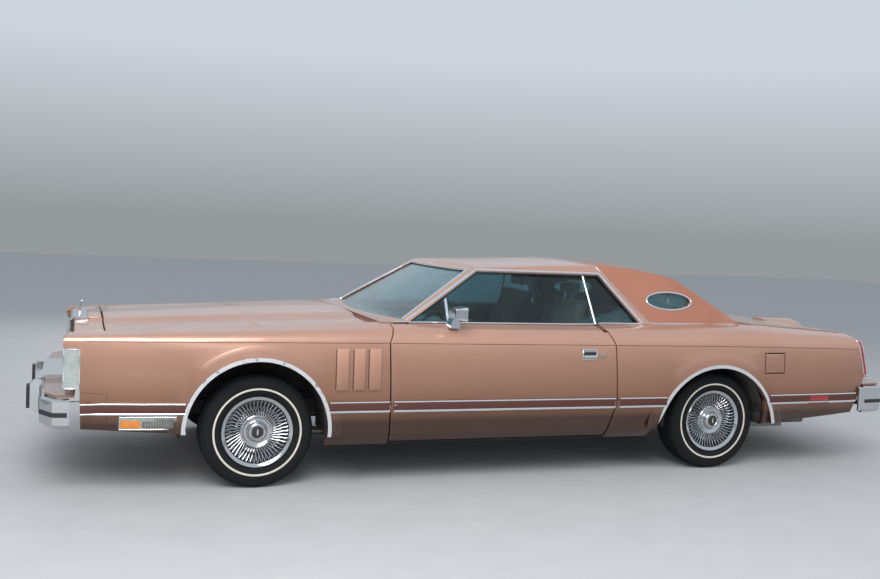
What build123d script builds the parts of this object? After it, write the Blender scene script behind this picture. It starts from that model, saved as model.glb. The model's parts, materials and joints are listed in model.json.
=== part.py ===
from build123d import *
import os

# Luxury coupe, two doors, in millimetres.
# +X is the way it drives, +Y its left side, +Z up; the origin lies on the ground
# under the middle of its length.

os.makedirs("parts", exist_ok=True)

# Driving dimensions
body_length = 5850
wheelbase = 3058
front_overhang = 1246
front_track = 1605
rear_track = 1590
front_end_x = body_length / 2
rear_end_x = -body_length / 2
front_axle_x = front_end_x - front_overhang
rear_axle_x = front_axle_x - wheelbase

# Wheels
tyre_radius = 324
tyre_half_width = 107
rim_radius = 204
bead_radius = 190
hub_z = tyre_radius
spindle_radius = 20
running_gap = 0.09
seat_gap = 0.3
spoke_count = 24

# Gaps between panels
panel_gap = 8
skin = 30

# Heights that the body side keeps all along
sill_z = 245
sill_crease_z = 308
moulding_z = 467

# Body side, front to rear: width of the turned-under edge, of the sill crease and of the
# moulding line, then the feature crease, the shoulder and the inner edge of the top flange
side_columns = ("x", "under_y", "sill_y", "side_y", "crease_y", "crease_z",
                "shoulder_y", "shoulder_z", "top_y", "top_z")
side_table = [
    (2760, 850, 885, 905, 905, 838, 885, 866, 760, 872),
    (2300, 905, 940, 965, 962, 845, 930, 884, 775, 893),
    (1679, 930, 968, 995, 988, 849, 938, 905, 790, 922),
    (930, 935, 975, 1000, 990, 848, 925, 930, 800, 956),
    (-560, 935, 975, 1000, 990, 842, 925, 932, 800, 960),
    (-1379, 930, 968, 992, 985, 838, 915, 938, 795, 970),
    (-1750, 920, 955, 978, 972, 832, 905, 932, 790, 962),
    (-2300, 895, 930, 950, 945, 822, 885, 905, 785, 925),
    (-2700, 865, 895, 915, 905, 805, 865, 880, 770, 900),
]
side_rows = [dict(zip(side_columns, row)) for row in side_table]
flank_crown = 0.018
roll_crown = 0.12

# Door edges in side view, top to bottom
door_front_edge = [(891, 1000), (891, 958), (934, 848), (912, 263)]
door_rear_edge = [(-511, 1000), (-511, 930), (-554, 838), (-576, 476), (-516, 263)]
door_bottom_z = 263
door_inner_y = 845
hinge_x = 850
hinge_y = 982

# Greenhouse: plan outline at the belt and at the roof rail
belt_z = 945
rail_z = 1285
roof_wall = 40
belt_plan = {"front_x": 815, "nose_x": 960, "front_y": 838, "rear_y": 800,
             "rear_x": -1655, "tail_x": -1715}
rail_plan = {"front_x": 290, "nose_x": 345, "front_y": 640, "rear_y": 622,
             "rear_x": -1135, "tail_x": -1165}
# Roof crown, front to rear: station, height at the middle, height at the edge
roof_table = [(420, 1310, 1270), (-300, 1342, 1297), (-900, 1330, 1285), (-1260, 1258, 1218)]
roof_edge_y = 780
roof_base_z = 958


def save(piece, name):
    piece.label = name
    export_step(piece, "parts/" + name + ".step")


def save_pair(left_part, stem):
    save(left_part, stem + "_left")
    with BuildPart() as right:
        mirror(left_part, about=Plane.XZ)
    save(right.part, stem + "_right")


def face_xz(points, y):
    with BuildSketch(Plane.XZ.offset(-y)) as outline:
        with BuildLine():
            Polyline(*points, close=True)
        make_face()
    return outline.sketch


def face_yz(points, x):
    with BuildSketch(Plane.YZ.offset(x)) as outline:
        with BuildLine():
            Polyline(*points, close=True)
        make_face()
    return outline.sketch


def face_xy(points, z):
    with BuildSketch(Plane.XY.offset(z)) as outline:
        with BuildLine():
            Polyline(*points, close=True)
        make_face()
    return outline.sketch


def box(x0, x1, y0, y1, z0, z1):
    solid = Box(x1 - x0, y1 - y0, z1 - z0, mode=Mode.PRIVATE)
    return Pos((x0 + x1) / 2, (y0 + y1) / 2, (z0 + z1) / 2) * solid


def rod(x, y, z, radius, length, turn):
    solid = Cylinder(radius, length, rotation=turn, mode=Mode.PRIVATE)
    return Pos(x, y, z) * solid


across = (90, 0, 0)
upright = (0, 0, 0)
along = (0, 90, 0)


def shifted(points, dx):
    return [(x + dx, z) for x, z in points]


def side_value(x, key):
    rows = side_rows
    for ahead, behind in zip(rows, rows[1:]):
        if ahead["x"] >= x >= behind["x"]:
            share = (ahead["x"] - x) / (ahead["x"] - behind["x"])
            return ahead[key] + share * (behind[key] - ahead[key])
    return rows[-1][key] if x < rows[-1]["x"] else rows[0][key]


# Outer face of the flank between the moulding and the crease
def outer_y(x, z):
    low_y = side_value(x, "side_y")
    high_y = side_value(x, "crease_y")
    band = side_value(x, "crease_z") - moulding_z
    share = (z - moulding_z) / band
    return low_y + share * (high_y - low_y) + 4 * flank_crown * band * share * (1 - share)


# Point that lifts the middle of a section edge outwards by a share of its length
def crowned(start, end, share):
    run_y = end[0] - start[0]
    run_z = end[1] - start[1]
    return ((start[0] + end[0]) / 2 + share * run_z, (start[1] + end[1]) / 2 - share * run_y)


def side_section(row, wall, low_z, inner_y, flange_z):
    under = (row["under_y"] - wall, low_z)
    sill = (row["sill_y"] - wall, sill_crease_z)
    side = (row["side_y"] - wall, moulding_z)
    crease = (row["crease_y"] - wall, row["crease_z"] - wall / 2)
    shoulder = (row["shoulder_y"] - wall, row["shoulder_z"] - wall)
    with BuildSketch(Plane.YZ.offset(row["x"])) as section:
        with BuildLine():
            Polyline((inner_y, low_z), under, sill, side)
            ThreePointArc(side, crowned(side, crease, flank_crown), crease)
            ThreePointArc(crease, crowned(crease, shoulder, roll_crown), shoulder)
            Polyline(shoulder, (inner_y, flange_z), (inner_y, low_z))
        make_face()
    return section.sketch


# The left body side as one solid, and the space inside its skin
def side_solid():
    with BuildPart() as solid:
        loft([side_section(row, 0, sill_z, row["top_y"], row["top_z"]) for row in side_rows], ruled=True)
    return solid.part


def side_core(wall):
    overrun = 40
    rows = [dict(side_rows[0], x=side_rows[0]["x"] + overrun)] + side_rows[1:-1]
    rows = rows + [dict(side_rows[-1], x=side_rows[-1]["x"] - overrun)]
    with BuildPart() as core:
        loft([side_section(row, wall, sill_z - 60, row["top_y"] - 360, row["top_z"] - wall + 12) for row in rows],
             ruled=True)
    return core.part


side_left = side_solid()
core_left = side_core(skin)


def plan_at(z, inset):
    share = (z - belt_z) / (rail_z - belt_z)
    plan = {key: belt_plan[key] + share * (rail_plan[key] - belt_plan[key]) for key in belt_plan}
    for key in ("front_x", "nose_x", "front_y", "rear_y"):
        plan[key] = plan[key] - inset
    for key in ("rear_x", "tail_x"):
        plan[key] = plan[key] + inset
    return plan


# Greenhouse solid, drawn in by an inset; its roof is lowered by the same amount
def greenhouse(inset, base_z):
    with BuildPart() as cabin:
        for z in (base_z, rail_z + 140):
            plan = plan_at(z, inset)
            with BuildSketch(Plane.XY.offset(z)):
                with BuildLine():
                    front = ThreePointArc(
                        (plan["front_x"], -plan["front_y"]),
                        (plan["nose_x"], 0),
                        (plan["front_x"], plan["front_y"]),
                    )
                    Line(front @ 1, (plan["rear_x"], plan["rear_y"]))
                    ThreePointArc(
                        (plan["rear_x"], plan["rear_y"]),
                        (plan["tail_x"], 0),
                        (plan["rear_x"], -plan["rear_y"]),
                    )
                    Line((plan["rear_x"], -plan["rear_y"]), front @ 0)
                make_face()
        loft(ruled=True)
        add(roof_crown(inset), mode=Mode.INTERSECT)
    return cabin.part


def roof_crown(drop):
    with BuildPart() as crown:
        stations = [(1200, 1265, 1225)] + roof_table + [(-1900, 1000, 960)]
        for x, middle_z, edge_z in stations:
            with BuildSketch(Plane.YZ.offset(x)):
                with BuildLine():
                    top = ThreePointArc(
                        (-roof_edge_y - 80, edge_z - drop),
                        (0, middle_z - drop),
                        (roof_edge_y + 80, edge_z - drop),
                    )
                    Polyline(top @ 1, (roof_edge_y + 80, 600), (-roof_edge_y - 80, 600), top @ 0)
                make_face()
        loft()
    return crown.part


# The roof rolls over into its sides along both rails
roof_roll = 30
with BuildPart() as rounded_greenhouse:
    add(greenhouse(0, roof_base_z))
    long_edges = rounded_greenhouse.edges().filter_by(lambda edge: edge.length > 1000)
    fillet(long_edges.group_by(Axis.Z)[-1], roof_roll)
greenhouse_outer = rounded_greenhouse.part
greenhouse_inner = greenhouse(roof_wall, roof_base_z - 30)

# Side openings of the greenhouse: whole window, then where the panes end
window_outline = [(778, 957), (284, 1268), (-590, 1268), (-836, 957)]
pane_gap = 5
glass_inset = 16
glass_thickness = 6
divider_top = (-469, 1264)
divider_foot = (-493, 957)
divider_width = 16
opera_x = -1096
opera_z = 1111
opera_length = 340
opera_height = 104
vinyl_edge = [(-560, 1400), (-590, 1330), (-893, 975), (-893, 900)]


def window_prism(points, y0, y1):
    with BuildPart() as prism:
        extrude(face_xz(points, y1), amount=y1 - y0, dir=(0, -1, 0))
    return prism.part


def opera_prism(grow):
    with BuildPart() as prism:
        with BuildSketch(Plane.XZ.offset(-1000)):
            with Locations((opera_x, opera_z)):
                Ellipse(opera_length / 2 + grow, opera_height / 2 + grow)
        extrude(amount=500)
    return prism.part


windshield_outline = [(-748, 966), (748, 966), (560, 1268), (-560, 1268)]
rear_window_outline = [(-600, 985), (600, 985), (480, 1225), (-480, 1225)]


def end_prism(points, x0, x1):
    with BuildPart() as prism:
        extrude(face_yz(points, x0), amount=x1 - x0, dir=(1, 0, 0))
    return prism.part


def flat_prism(points, z0, z1):
    with BuildPart() as prism:
        extrude(face_xy(points, z0), amount=z1 - z0, dir=(0, 0, 1))
    return prism.part


front_window_hole = end_prism(windshield_outline, 60, 1100)
rear_window_hole = end_prism(rear_window_outline, -1900, -1000)
side_window_hole = window_prism(window_outline, 500, 1000)

with BuildPart() as roof_shell:
    add(greenhouse_outer)
    add(greenhouse_inner, mode=Mode.SUBTRACT)
    add(side_left, mode=Mode.SUBTRACT)
    mirror(side_left, about=Plane.XZ, mode=Mode.SUBTRACT)
    add(front_window_hole, mode=Mode.SUBTRACT)
    add(rear_window_hole, mode=Mode.SUBTRACT)
    add(side_window_hole, mode=Mode.SUBTRACT)
    mirror(side_window_hole, about=Plane.XZ, mode=Mode.SUBTRACT)

vinyl_region = window_prism(vinyl_edge + [(-2000, 900), (-2000, 1400)], -1000, 1000)

with BuildPart() as steel_roof:
    add(roof_shell.part)
    add(vinyl_region, mode=Mode.SUBTRACT)
save(steel_roof.part, "steel_roof")

with BuildPart() as vinyl_roof:
    add(roof_shell.part)
    add(vinyl_region, mode=Mode.INTERSECT)
    add(opera_prism(0), mode=Mode.SUBTRACT)
    mirror(opera_prism(0), about=Plane.XZ, mode=Mode.SUBTRACT)
save(vinyl_roof.part, "vinyl_roof")

# Panes lie in one thin layer inside the wall
with BuildPart() as pane_layer:
    add(greenhouse(glass_inset, roof_base_z - 12))
    add(greenhouse(glass_inset + glass_thickness, roof_base_z - 40), mode=Mode.SUBTRACT)


def pane(prism):
    with BuildPart() as glass:
        add(pane_layer.part)
        add(prism, mode=Mode.INTERSECT)
    return glass.part


def drawn_in(points, margin):
    middle_y = sum(y for y, z in points) / len(points)
    middle_z = sum(z for y, z in points) / len(points)
    return [(y - margin if y > middle_y else y + margin, z - margin if z > middle_z else z + margin)
            for y, z in points]


save(pane(end_prism(drawn_in(windshield_outline, seat_gap), 60, 1100)), "windshield")
save(pane(end_prism(drawn_in(rear_window_outline, seat_gap), -1900, -1000)), "rear_window")

quarter_top_z = 1268 - seat_gap
quarter_low_z = 957 + seat_gap
quarter_outline = [(divider_top[0] - divider_width, quarter_top_z), (-590 + 3 * seat_gap, quarter_top_z),
                   (-836 + 3 * seat_gap, quarter_low_z), (divider_foot[0] - divider_width, quarter_low_z)]
quarter_pane = pane(window_prism(quarter_outline, 500, 1000))
opera_pane = pane(opera_prism(-seat_gap))
with BuildPart() as side_glass:
    add(quarter_pane)
    add(opera_pane)
    mirror(quarter_pane, about=Plane.XZ)
    mirror(opera_pane, about=Plane.XZ)
save(side_glass.part, "side_glass")


# Wheel arches in side view: centre and radius, then the leaning plane of their flared lip
arch_columns = ("x", "z", "radius", "lip_y", "lean_x", "lean_z")
front_arch = dict(zip(arch_columns, (1692.6, 345.2, 397.8, 992.3, -0.0268, 0.028)))
rear_arch = dict(zip(arch_columns, (-1347.7, 248.7, 446.6, 990.4, 0.0228, 0.0288)))
arch_trim_width = 22
arch_trim_proud = 5
flare_width = 90
flare_rise = 12
flare_depth = 22


def lip_plane(arch):
    return Plane(origin=(arch["x"], arch["lip_y"], arch["z"]), x_dir=(1, arch["lean_x"], 0),
                 z_dir=(-arch["lean_x"], 1, -arch["lean_z"]))


# Lip that rises out of the flank towards the edge of the arch
def arch_flare(arch):
    spread = (flare_width - arch_trim_width) * flare_depth / flare_rise
    base = lip_plane(arch).offset(-flare_depth)
    with BuildPart() as lip:
        with BuildSketch(base):
            Circle(arch["radius"] + arch_trim_width + spread)
        with BuildSketch(lip_plane(arch)):
            Circle(arch["radius"] + arch_trim_width)
        loft()
        with BuildSketch(base):
            Circle(arch["radius"] + flare_width)
        extrude(amount=flare_depth, mode=Mode.INTERSECT)
        with BuildSketch(base):
            Circle(arch["radius"] - 3)
        extrude(amount=flare_depth, mode=Mode.SUBTRACT)
        add(box(-3000, 3000, 900, 1100, 0, sill_crease_z), mode=Mode.SUBTRACT)
    return lip.part


def arch_trim(arch, prism):
    with BuildPart() as ring:
        with BuildSketch(lip_plane(arch)):
            Circle(arch["radius"] + arch_trim_width)
            Circle(arch["radius"] - 3, mode=Mode.SUBTRACT)
        extrude(amount=arch_trim_proud)
        add(box(-3000, 3000, 900, 1100, 0, sill_crease_z), mode=Mode.SUBTRACT)
        add(prism, mode=Mode.INTERSECT)
    return ring.part


front_flare = arch_flare(front_arch)
rear_flare = arch_flare(rear_arch)


def side_panel(prism, flare):
    with BuildPart() as panel:
        add(side_left)
        add(core_left, mode=Mode.SUBTRACT)
        add(flare)
        add(prism, mode=Mode.INTERSECT)
    return panel.part


# Front fender
front_arch_foot = (1300, 281)
front_arch_top = (1690, 743)
front_arch_nose = (2090, 364)


with BuildPart() as fender_prism:
    with BuildSketch(Plane.XZ.offset(-1100)):
        with BuildLine():
            ThreePointArc(front_arch_foot, front_arch_top, front_arch_nose)
            Polyline(front_arch_nose, (2086, 336), (2632, 366), (2640, 576), (2640, 801),
                     (2720, 801), (2728, 812), (2727, 845), (2719, 861), (2700, 873), (2680, 1000),
                     (891 + panel_gap, 1000), (891 + panel_gap, 958), (934 + panel_gap, 848),
                     (912 + panel_gap, sill_z), (1300, sill_z), front_arch_foot)
        make_face()
    extrude(amount=1100)
fender_left = side_panel(fender_prism.part, front_flare)
save_pair(fender_left, "fender")

# Rear quarter
rear_arch_start = (-949, 450)
rear_arch_top = (-1364, 695)
rear_arch_end = (-1735, 471)
quarter_rear = [(-1728, 309), (-2505, 368), (-2598, 614), (-2515, 1000)]
with BuildPart() as quarter_prism:
    with BuildSketch(Plane.XZ.offset(-1100)):
        with BuildLine():
            ThreePointArc(rear_arch_start, rear_arch_top, rear_arch_end)
            Polyline(rear_arch_end, *quarter_rear,
                     (-511 - panel_gap, 1000), (-511 - panel_gap, 930), (-554 - panel_gap, 838),
                     (-576 - panel_gap, 476), (-516 - panel_gap, sill_z), (-838, sill_z), rear_arch_start)
        make_face()
    extrude(amount=1100)
quarter_left = side_panel(quarter_prism.part, rear_flare)
fuel_x = -1793
fuel_z = 724
fuel_half_x = 85
fuel_half_z = 71
flap_depth = 12
flap_gap = 8
flap_pin_radius = 2.5
flap_pin_x = fuel_x + fuel_half_x - flap_gap - 10
flap_pin_y = outer_y(flap_pin_x, fuel_z) - 7
flap_pin_length = 2 * fuel_half_z + 20
with BuildPart() as quarter_with_flap:
    add(quarter_left)
    add(window_prism([(fuel_x - fuel_half_x, fuel_z - fuel_half_z), (fuel_x + fuel_half_x, fuel_z - fuel_half_z),
                      (fuel_x + fuel_half_x, fuel_z + fuel_half_z), (fuel_x - fuel_half_x, fuel_z + fuel_half_z)],
                     800, 1100), mode=Mode.SUBTRACT)
    add(rod(flap_pin_x, flap_pin_y, fuel_z, flap_pin_radius + running_gap, flap_pin_length + 1, upright),
        mode=Mode.SUBTRACT)
save(quarter_with_flap.part, "quarter_panel_left")
with BuildPart() as quarter_right:
    mirror(quarter_left, about=Plane.XZ)
save(quarter_right.part, "quarter_panel_right")

# Door: solid as thick as the whole door, its rear end set back inside the skin
door_outline = door_front_edge + list(reversed(door_rear_edge))
rear_setback = 28
door_skin_y = 945
rear_strip = shifted(door_rear_edge, -60) + list(reversed(shifted(door_rear_edge, rear_setback)))
hinge_heights = (510, 740)
hinge_height = 44
pocket_height = 60
pin_radius = 6
ring_radius = 10
arm_reach_x = 52
arm_reach_y = 118
arm_width = 14
pillar_face_x = 945

with BuildPart() as door_core:
    add(side_left)
    add(window_prism(door_outline, door_inner_y, 1100), mode=Mode.INTERSECT)
    add(window_prism(rear_strip, door_inner_y - 20, door_skin_y), mode=Mode.SUBTRACT)
    add(box(-478, 780, 806, door_inner_y + 5, 905, 950))
    for z in hinge_heights:
        with BuildSketch(Plane.XY.offset(z - pocket_height / 2)):
            with BuildLine():
                Polyline((hinge_x, hinge_y + 8), (hinge_x + 100, hinge_y + 8), (hinge_x + 100, hinge_y - 135),
                         (hinge_x + 30, hinge_y - 135), (hinge_x - 12, hinge_y), close=True)
            make_face()
            with Locations((hinge_x, hinge_y)):
                Circle(ring_radius + 3)
        extrude(amount=pocket_height, mode=Mode.SUBTRACT)
        with Locations((hinge_x, hinge_y, z)):
            Cylinder(pin_radius, pocket_height)
save_pair(door_core.part, "door")

# Door hinges on the pillar
with BuildPart() as hinge_set:
    for z in hinge_heights:
        with BuildSketch(Plane.XY.offset(z - hinge_height / 2)):
            with BuildLine():
                spine = Polyline((hinge_x, hinge_y), (hinge_x + arm_reach_x, hinge_y - arm_reach_y),
                                 (pillar_face_x, hinge_y - arm_reach_y))
            trace(line_width=arm_width)
            with Locations((hinge_x, hinge_y)):
                Circle(ring_radius)
                Circle(pin_radius + running_gap, mode=Mode.SUBTRACT)
        extrude(amount=hinge_height)
with BuildPart() as door_hinges:
    add(hinge_set.part)
    mirror(hinge_set.part, about=Plane.XZ)
save(door_hinges.part, "door_hinges")

# Door glass stands on the belt rail
door_pane_outline = [(768, 950), (768, 962), (285, 1263), (-463, 1263), (-488, 950)]
door_pane = pane(window_prism(door_pane_outline, 500, 1000))
save_pair(door_pane, "door_glass")


# Hood: station, middle, ridge, valley and outer edge
hood_front_x = 2512
hood_rear_x = 1040
hood_thickness = 26
hood_columns = ("x", "mid_z", "ridge_y", "ridge_z", "valley_y", "valley_z", "edge_y", "edge_z")
hood_table = [
    (2512, 912, 285, 905, 345, 884, 760, 883),
    (1679, 962, 380, 951, 450, 926, 782, 922),
    (1040, 990, 470, 979, 545, 956, 788, 952),
]
hood_rows = [dict(zip(hood_columns, row)) for row in hood_table]


def hood_section(row, low):
    upper = [(-row["edge_y"], row["edge_z"]), (-row["valley_y"], row["valley_z"]),
             (-row["ridge_y"], row["ridge_z"]), (0, row["mid_z"]),
             (row["ridge_y"], row["ridge_z"]), (row["valley_y"], row["valley_z"]),
             (row["edge_y"], row["edge_z"])]
    lower = [(y, z - low) for y, z in reversed(upper)]
    return face_yz(upper + lower, row["x"])


hood_pivot_x = 985
hood_pivot_z = 900
hood_arm_y = 640
hood_arm_half = 8
with BuildPart() as hood:
    loft([hood_section(row, hood_thickness) for row in hood_rows], ruled=True)
    for side in (-1, 1):
        y = side * hood_arm_y
        add(window_prism([(hood_pivot_x - 14, hood_pivot_z), (hood_pivot_x, hood_pivot_z - 14),
                          (1200, 905), (1200, 932), (1070, 932), (hood_pivot_x, hood_pivot_z + 14)],
                         y - hood_arm_half, y + hood_arm_half))
        add(rod(hood_pivot_x, y, hood_pivot_z, pin_radius + running_gap, 60, across), mode=Mode.SUBTRACT)
save(hood.part, "hood")

# Bar that follows its plan outline; a groove in its face holds a rubber strip
bumper_wall = 42
groove_depth = 6
groove_low_z = 434
groove_high_z = 460
strip_proud = 3
guard_y = 395


def bumper_block(outline, grow, low_z, high_z):
    with BuildPart() as block:
        with BuildSketch(Plane.XY.offset(low_z)):
            with BuildLine():
                Polyline(*outline, close=True)
            make_face()
            offset(amount=grow, kind=Kind.INTERSECTION)
        extrude(amount=high_z - low_z)
    return block.part


def bumper_bar(outline, low_z, high_z, toward):
    ends_x = outline[0][0]
    with BuildPart() as bar:
        with BuildSketch(Plane.XY.offset(low_z)):
            with BuildLine():
                Polyline(*outline, close=True)
            make_face()
        extrude(amount=high_z - low_z)
        face_edges = bar.edges().filter_by(lambda edge: toward * (edge.center().X - ends_x) > 1)
        chamfer(face_edges.group_by(Axis.Z)[0], 22)
        face_edges = bar.edges().filter_by(lambda edge: toward * (edge.center().X - ends_x) > 1)
        chamfer(face_edges.group_by(Axis.Z)[-1], 14)
        inner = [(x - toward * 0.01, y) for x, y in outline]
        add(bumper_block(inner, -bumper_wall, low_z - 5, high_z + 5), mode=Mode.SUBTRACT)
        add(box(*sorted((ends_x - 50, ends_x + 50)), -1000 + 60, 1000 - 60, low_z - 5, high_z + 5),
            mode=Mode.SUBTRACT)
        add(groove_band(outline, 0.5, -groove_depth, toward, 0), mode=Mode.SUBTRACT)
    return bar.part


def groove_band(outline, outer, inner, toward, gap):
    ends_x = outline[0][0] + toward * 60
    with BuildPart() as band:
        add(bumper_block(outline, outer, groove_low_z + gap, groove_high_z - gap))
        add(bumper_block(outline, inner, groove_low_z - 5, groove_high_z + 5), mode=Mode.SUBTRACT)
        add(box(*sorted((ends_x + toward * gap, ends_x + toward * 600)), -1000, 1000, 300, 600),
            mode=Mode.INTERSECT)
    return band.part


front_bumper_plan = [(2640, -940), (2775, -925), (2842, -800), (2862, -300), (2862, 300), (2842, 800),
                     (2775, 925), (2640, 940)]
rear_bumper_plan = [(-2545, -952), (-2760, -925), (-2850, -790), (-2880, -300), (-2880, 300), (-2850, 790),
                    (-2760, 925), (-2545, 952)]

# Body-coloured shelf that closes the gap between a bumper and the body
shelf_thickness = 13
shelf_inset = 24


def bumper_shelf(outline, low_z, span_x, span_y):
    with BuildPart() as shelf:
        add(bumper_block(outline, -shelf_inset, low_z, low_z + shelf_thickness))
        add(box(*span_x, *span_y, low_z, low_z + shelf_thickness), mode=Mode.INTERSECT)
    return shelf.part


# Header panel ahead of the hood: top, brow over the lamp doors and lower apron
header_y = 755
lamp_axis_x = 2560
lamp_axis_z = 690
header_front_x = 2674
header_back_x = hood_front_x + panel_gap
shelf_inner_y = 352
with BuildPart() as header_panel:
    row = hood_rows[0]
    front_row = dict(row, x=header_front_x, edge_z=877, valley_z=879, ridge_y=270, ridge_z=890, mid_z=898,
                     edge_y=755, valley_y=320)
    back_row = dict(row, x=header_back_x)
    loft([hood_section(back_row, 24), hood_section(front_row, 24)], ruled=True)
    add(box(2661, header_front_x, -header_y, header_y, 797, 860))
    add(box(header_back_x, 2545, -header_y, header_y, 560, 672))
    for side in (-1, 1):
        y0, y1 = sorted((side * 325, side * 725))
        add(box(header_back_x, 2545, y0, y1, 660, 748))
    add(box(2661, header_front_x, -header_y - 60, header_y + 60, 548, 584))
    add(box(header_back_x, 2661, -header_y, header_y, 560, 572))
    add(box(header_back_x, header_front_x, -header_y - 12, -header_y + 2, 560, 870))
    add(box(header_back_x, header_front_x, header_y - 2, header_y + 12, 560, 870))
    add(box(2400, 2800, -282, 282, 540, 1000), mode=Mode.SUBTRACT)
    for side in (-1, 1):
        add(box(header_back_x, header_front_x, side * 290 - 8, side * 290 + 8, 560, 872))
        y0, y1 = sorted((side * shelf_inner_y, side * 1000))
        add(bumper_shelf(front_bumper_plan, 537, (2661, 2826), (y0, y1)))
    for y in (-760, -290, 290, 760):
        add(rod(lamp_axis_x, y, lamp_axis_z, pin_radius + running_gap, 30, across), mode=Mode.SUBTRACT)
    add(fender_left, mode=Mode.SUBTRACT)
    mirror(fender_left, about=Plane.XZ, mode=Mode.SUBTRACT)
save(header_panel.part, "header_panel")

# Lamp doors on one shaft behind each cover
cover_back_x = 2640
cover_front_x = 2654
with BuildPart() as headlamp_doors:
    for side in (-1, 1):
        y0, y1 = sorted((side * 304, side * 746))
        add(box(cover_back_x, cover_front_x, y0, y1, 591, 789))
        for y in (y0 + 3, y1 - 3):
            add(window_prism([(lamp_axis_x - 9, lamp_axis_z - 9), (lamp_axis_x + 9, lamp_axis_z - 9),
                              (cover_back_x, 620), (cover_back_x, 760), (lamp_axis_x - 9, lamp_axis_z + 9)],
                             y - 3, y + 3))
            add(rod(lamp_axis_x, y, lamp_axis_z, pin_radius, 38, across))
save(headlamp_doors.part, "headlamp_doors")

# Grille shell with upright bars and an upright ornament
grille_half = 281.7
grille_top_z = 905
grille_low_z = 560
bar_count = 25
bar_half = 3
with BuildPart() as grille:
    add(box(2600, 2700, -grille_half, grille_half, grille_low_z, grille_top_z))
    chamfer(grille.edges().filter_by(Axis.Y).group_by(Axis.Z)[-1].sort_by(Axis.X)[-1], 14)
    add(box(2590, 2710, -grille_half + 22, grille_half - 22, grille_low_z + 18, grille_top_z - 34), mode=Mode.SUBTRACT)
    add(box(2606, 2612, -grille_half + 22, grille_half - 22, grille_low_z + 18, grille_top_z - 34))
    bar_pitch = 2 * (grille_half - 30) / (bar_count - 1)
    for index in range(bar_count):
        y = (index - (bar_count - 1) / 2) * bar_pitch
        add(box(2612, 2692, y - bar_half, y + bar_half, grille_low_z + 18, grille_top_z - 34))
    add(box(2640, 2652, -24, 24, grille_top_z, grille_top_z + 10))
    add(window_prism([(2643, 915), (2652, 915), (2640, 985), (2631, 985)], -14, 14))
save(grille.part, "grille")

# Bumpers with a flat pad for the plate, bolted at four holes
plate_bolt_y = 178 / 2
plate_bolt_z = 121 / 2
plate_bolt_radius = 3.25
plate_mid_z = 450
front_plate_x = 2872
rear_plate_x = -2890


def bolt_holes(x):
    with BuildPart() as holes:
        for y in (-plate_bolt_y, plate_bolt_y):
            for z in (plate_mid_z - plate_bolt_z, plate_mid_z + plate_bolt_z):
                add(rod(x, y, z, plate_bolt_radius, 60, along))
    return holes.part


with BuildPart() as front_bumper:
    add(bumper_bar(front_bumper_plan, 369, 531, 1))
    add(box(2720, 2850, -345, 345, 500, 575))
    for side in (-1, 1):
        y = side * guard_y
        add(box(2620, 2825, side * 430 - 20, side * 430 + 20, 380, 430))
        add(window_prism([(2830, 372), (2880, 372), (2905, 396), (2905, 536), (2890, 552), (2830, 552)],
                         y - 38, y + 38))
    add(box(2840, front_plate_x, -170, 170, 374, 526))
    add(bolt_holes(front_plate_x), mode=Mode.SUBTRACT)
save(front_bumper.part, "front_bumper")

with BuildPart() as rear_bumper:
    add(bumper_bar(rear_bumper_plan, 365, 553, -1))
    for side in (-1, 1):
        y = side * guard_y
        add(box(-2845, -2640, side * 430 - 20, side * 430 + 20, 366, 405))
        add(window_prism([(-2840, 372), (-2887, 372), (-2912, 396), (-2912, 544), (-2897, 560), (-2840, 560)],
                         y - 38, y + 38))
    add(box(rear_plate_x, -2850, -170, 170, 374, 526))
    add(bolt_holes(rear_plate_x), mode=Mode.SUBTRACT)
save(rear_bumper.part, "rear_bumper")

with BuildPart() as bumper_pads:
    add(groove_band(front_bumper_plan, strip_proud, -groove_depth, 1, seat_gap))
    add(groove_band(rear_bumper_plan, strip_proud, -groove_depth, -1, seat_gap))
    add(front_bumper.part, mode=Mode.SUBTRACT)
    add(rear_bumper.part, mode=Mode.SUBTRACT)
    for side in (-1, 1):
        add(box(2905, front_end_x, side * guard_y - 30, side * guard_y + 30, 395, 530))
        add(box(rear_end_x, -2912, side * guard_y - 30, side * guard_y + 30, 395, 530))
save(bumper_pads.part, "bumper_pads")

# Trunk lid with the raised round on its back
lid_half = 757
lid_low_z = 626
hump_z = 655
hump_radius = 288
hump_front_x = -2380
hump_rear_x = -2725
lid_pivot_x = -1680
lid_pivot_z = 925
lid_arm_y = 600
lid_arm_half = 8
with BuildPart() as hump:
    add(rod((hump_front_x + hump_rear_x) / 2, 0, hump_z, hump_radius, hump_front_x - hump_rear_x, along))
    fillet(hump.edges().group_by(Axis.X)[0], 70)
    add(box(-3000, -2000, -400, 400, 300, lid_low_z), mode=Mode.SUBTRACT)
    add(box(-2520, -2300, -400, 400, 300, 880), mode=Mode.SUBTRACT)
with BuildPart() as trunk_lid:
    lid_side = [(-1750, 966), (-2300, 934), (-2500, 918), (-2600, 630), (-2572, lid_low_z), (-2478, 892),
                (-2300, 906), (-1750, 938)]
    add(window_prism(lid_side, -lid_half, lid_half))
    add(hump.part)
    for side in (-1, 1):
        y = side * lid_arm_y
        add(window_prism([(lid_pivot_x + 12, lid_pivot_z), (lid_pivot_x, lid_pivot_z + 12), (-1745, 945),
                          (-1850, 940), (-1850, 925), (-1760, 915), (lid_pivot_x, lid_pivot_z - 12)],
                         y - lid_arm_half, y + lid_arm_half))
        add(rod(lid_pivot_x, y, lid_pivot_z, pin_radius + running_gap, 60, across), mode=Mode.SUBTRACT)
save(trunk_lid.part, "trunk_lid")

tunnel_half = 150
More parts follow.
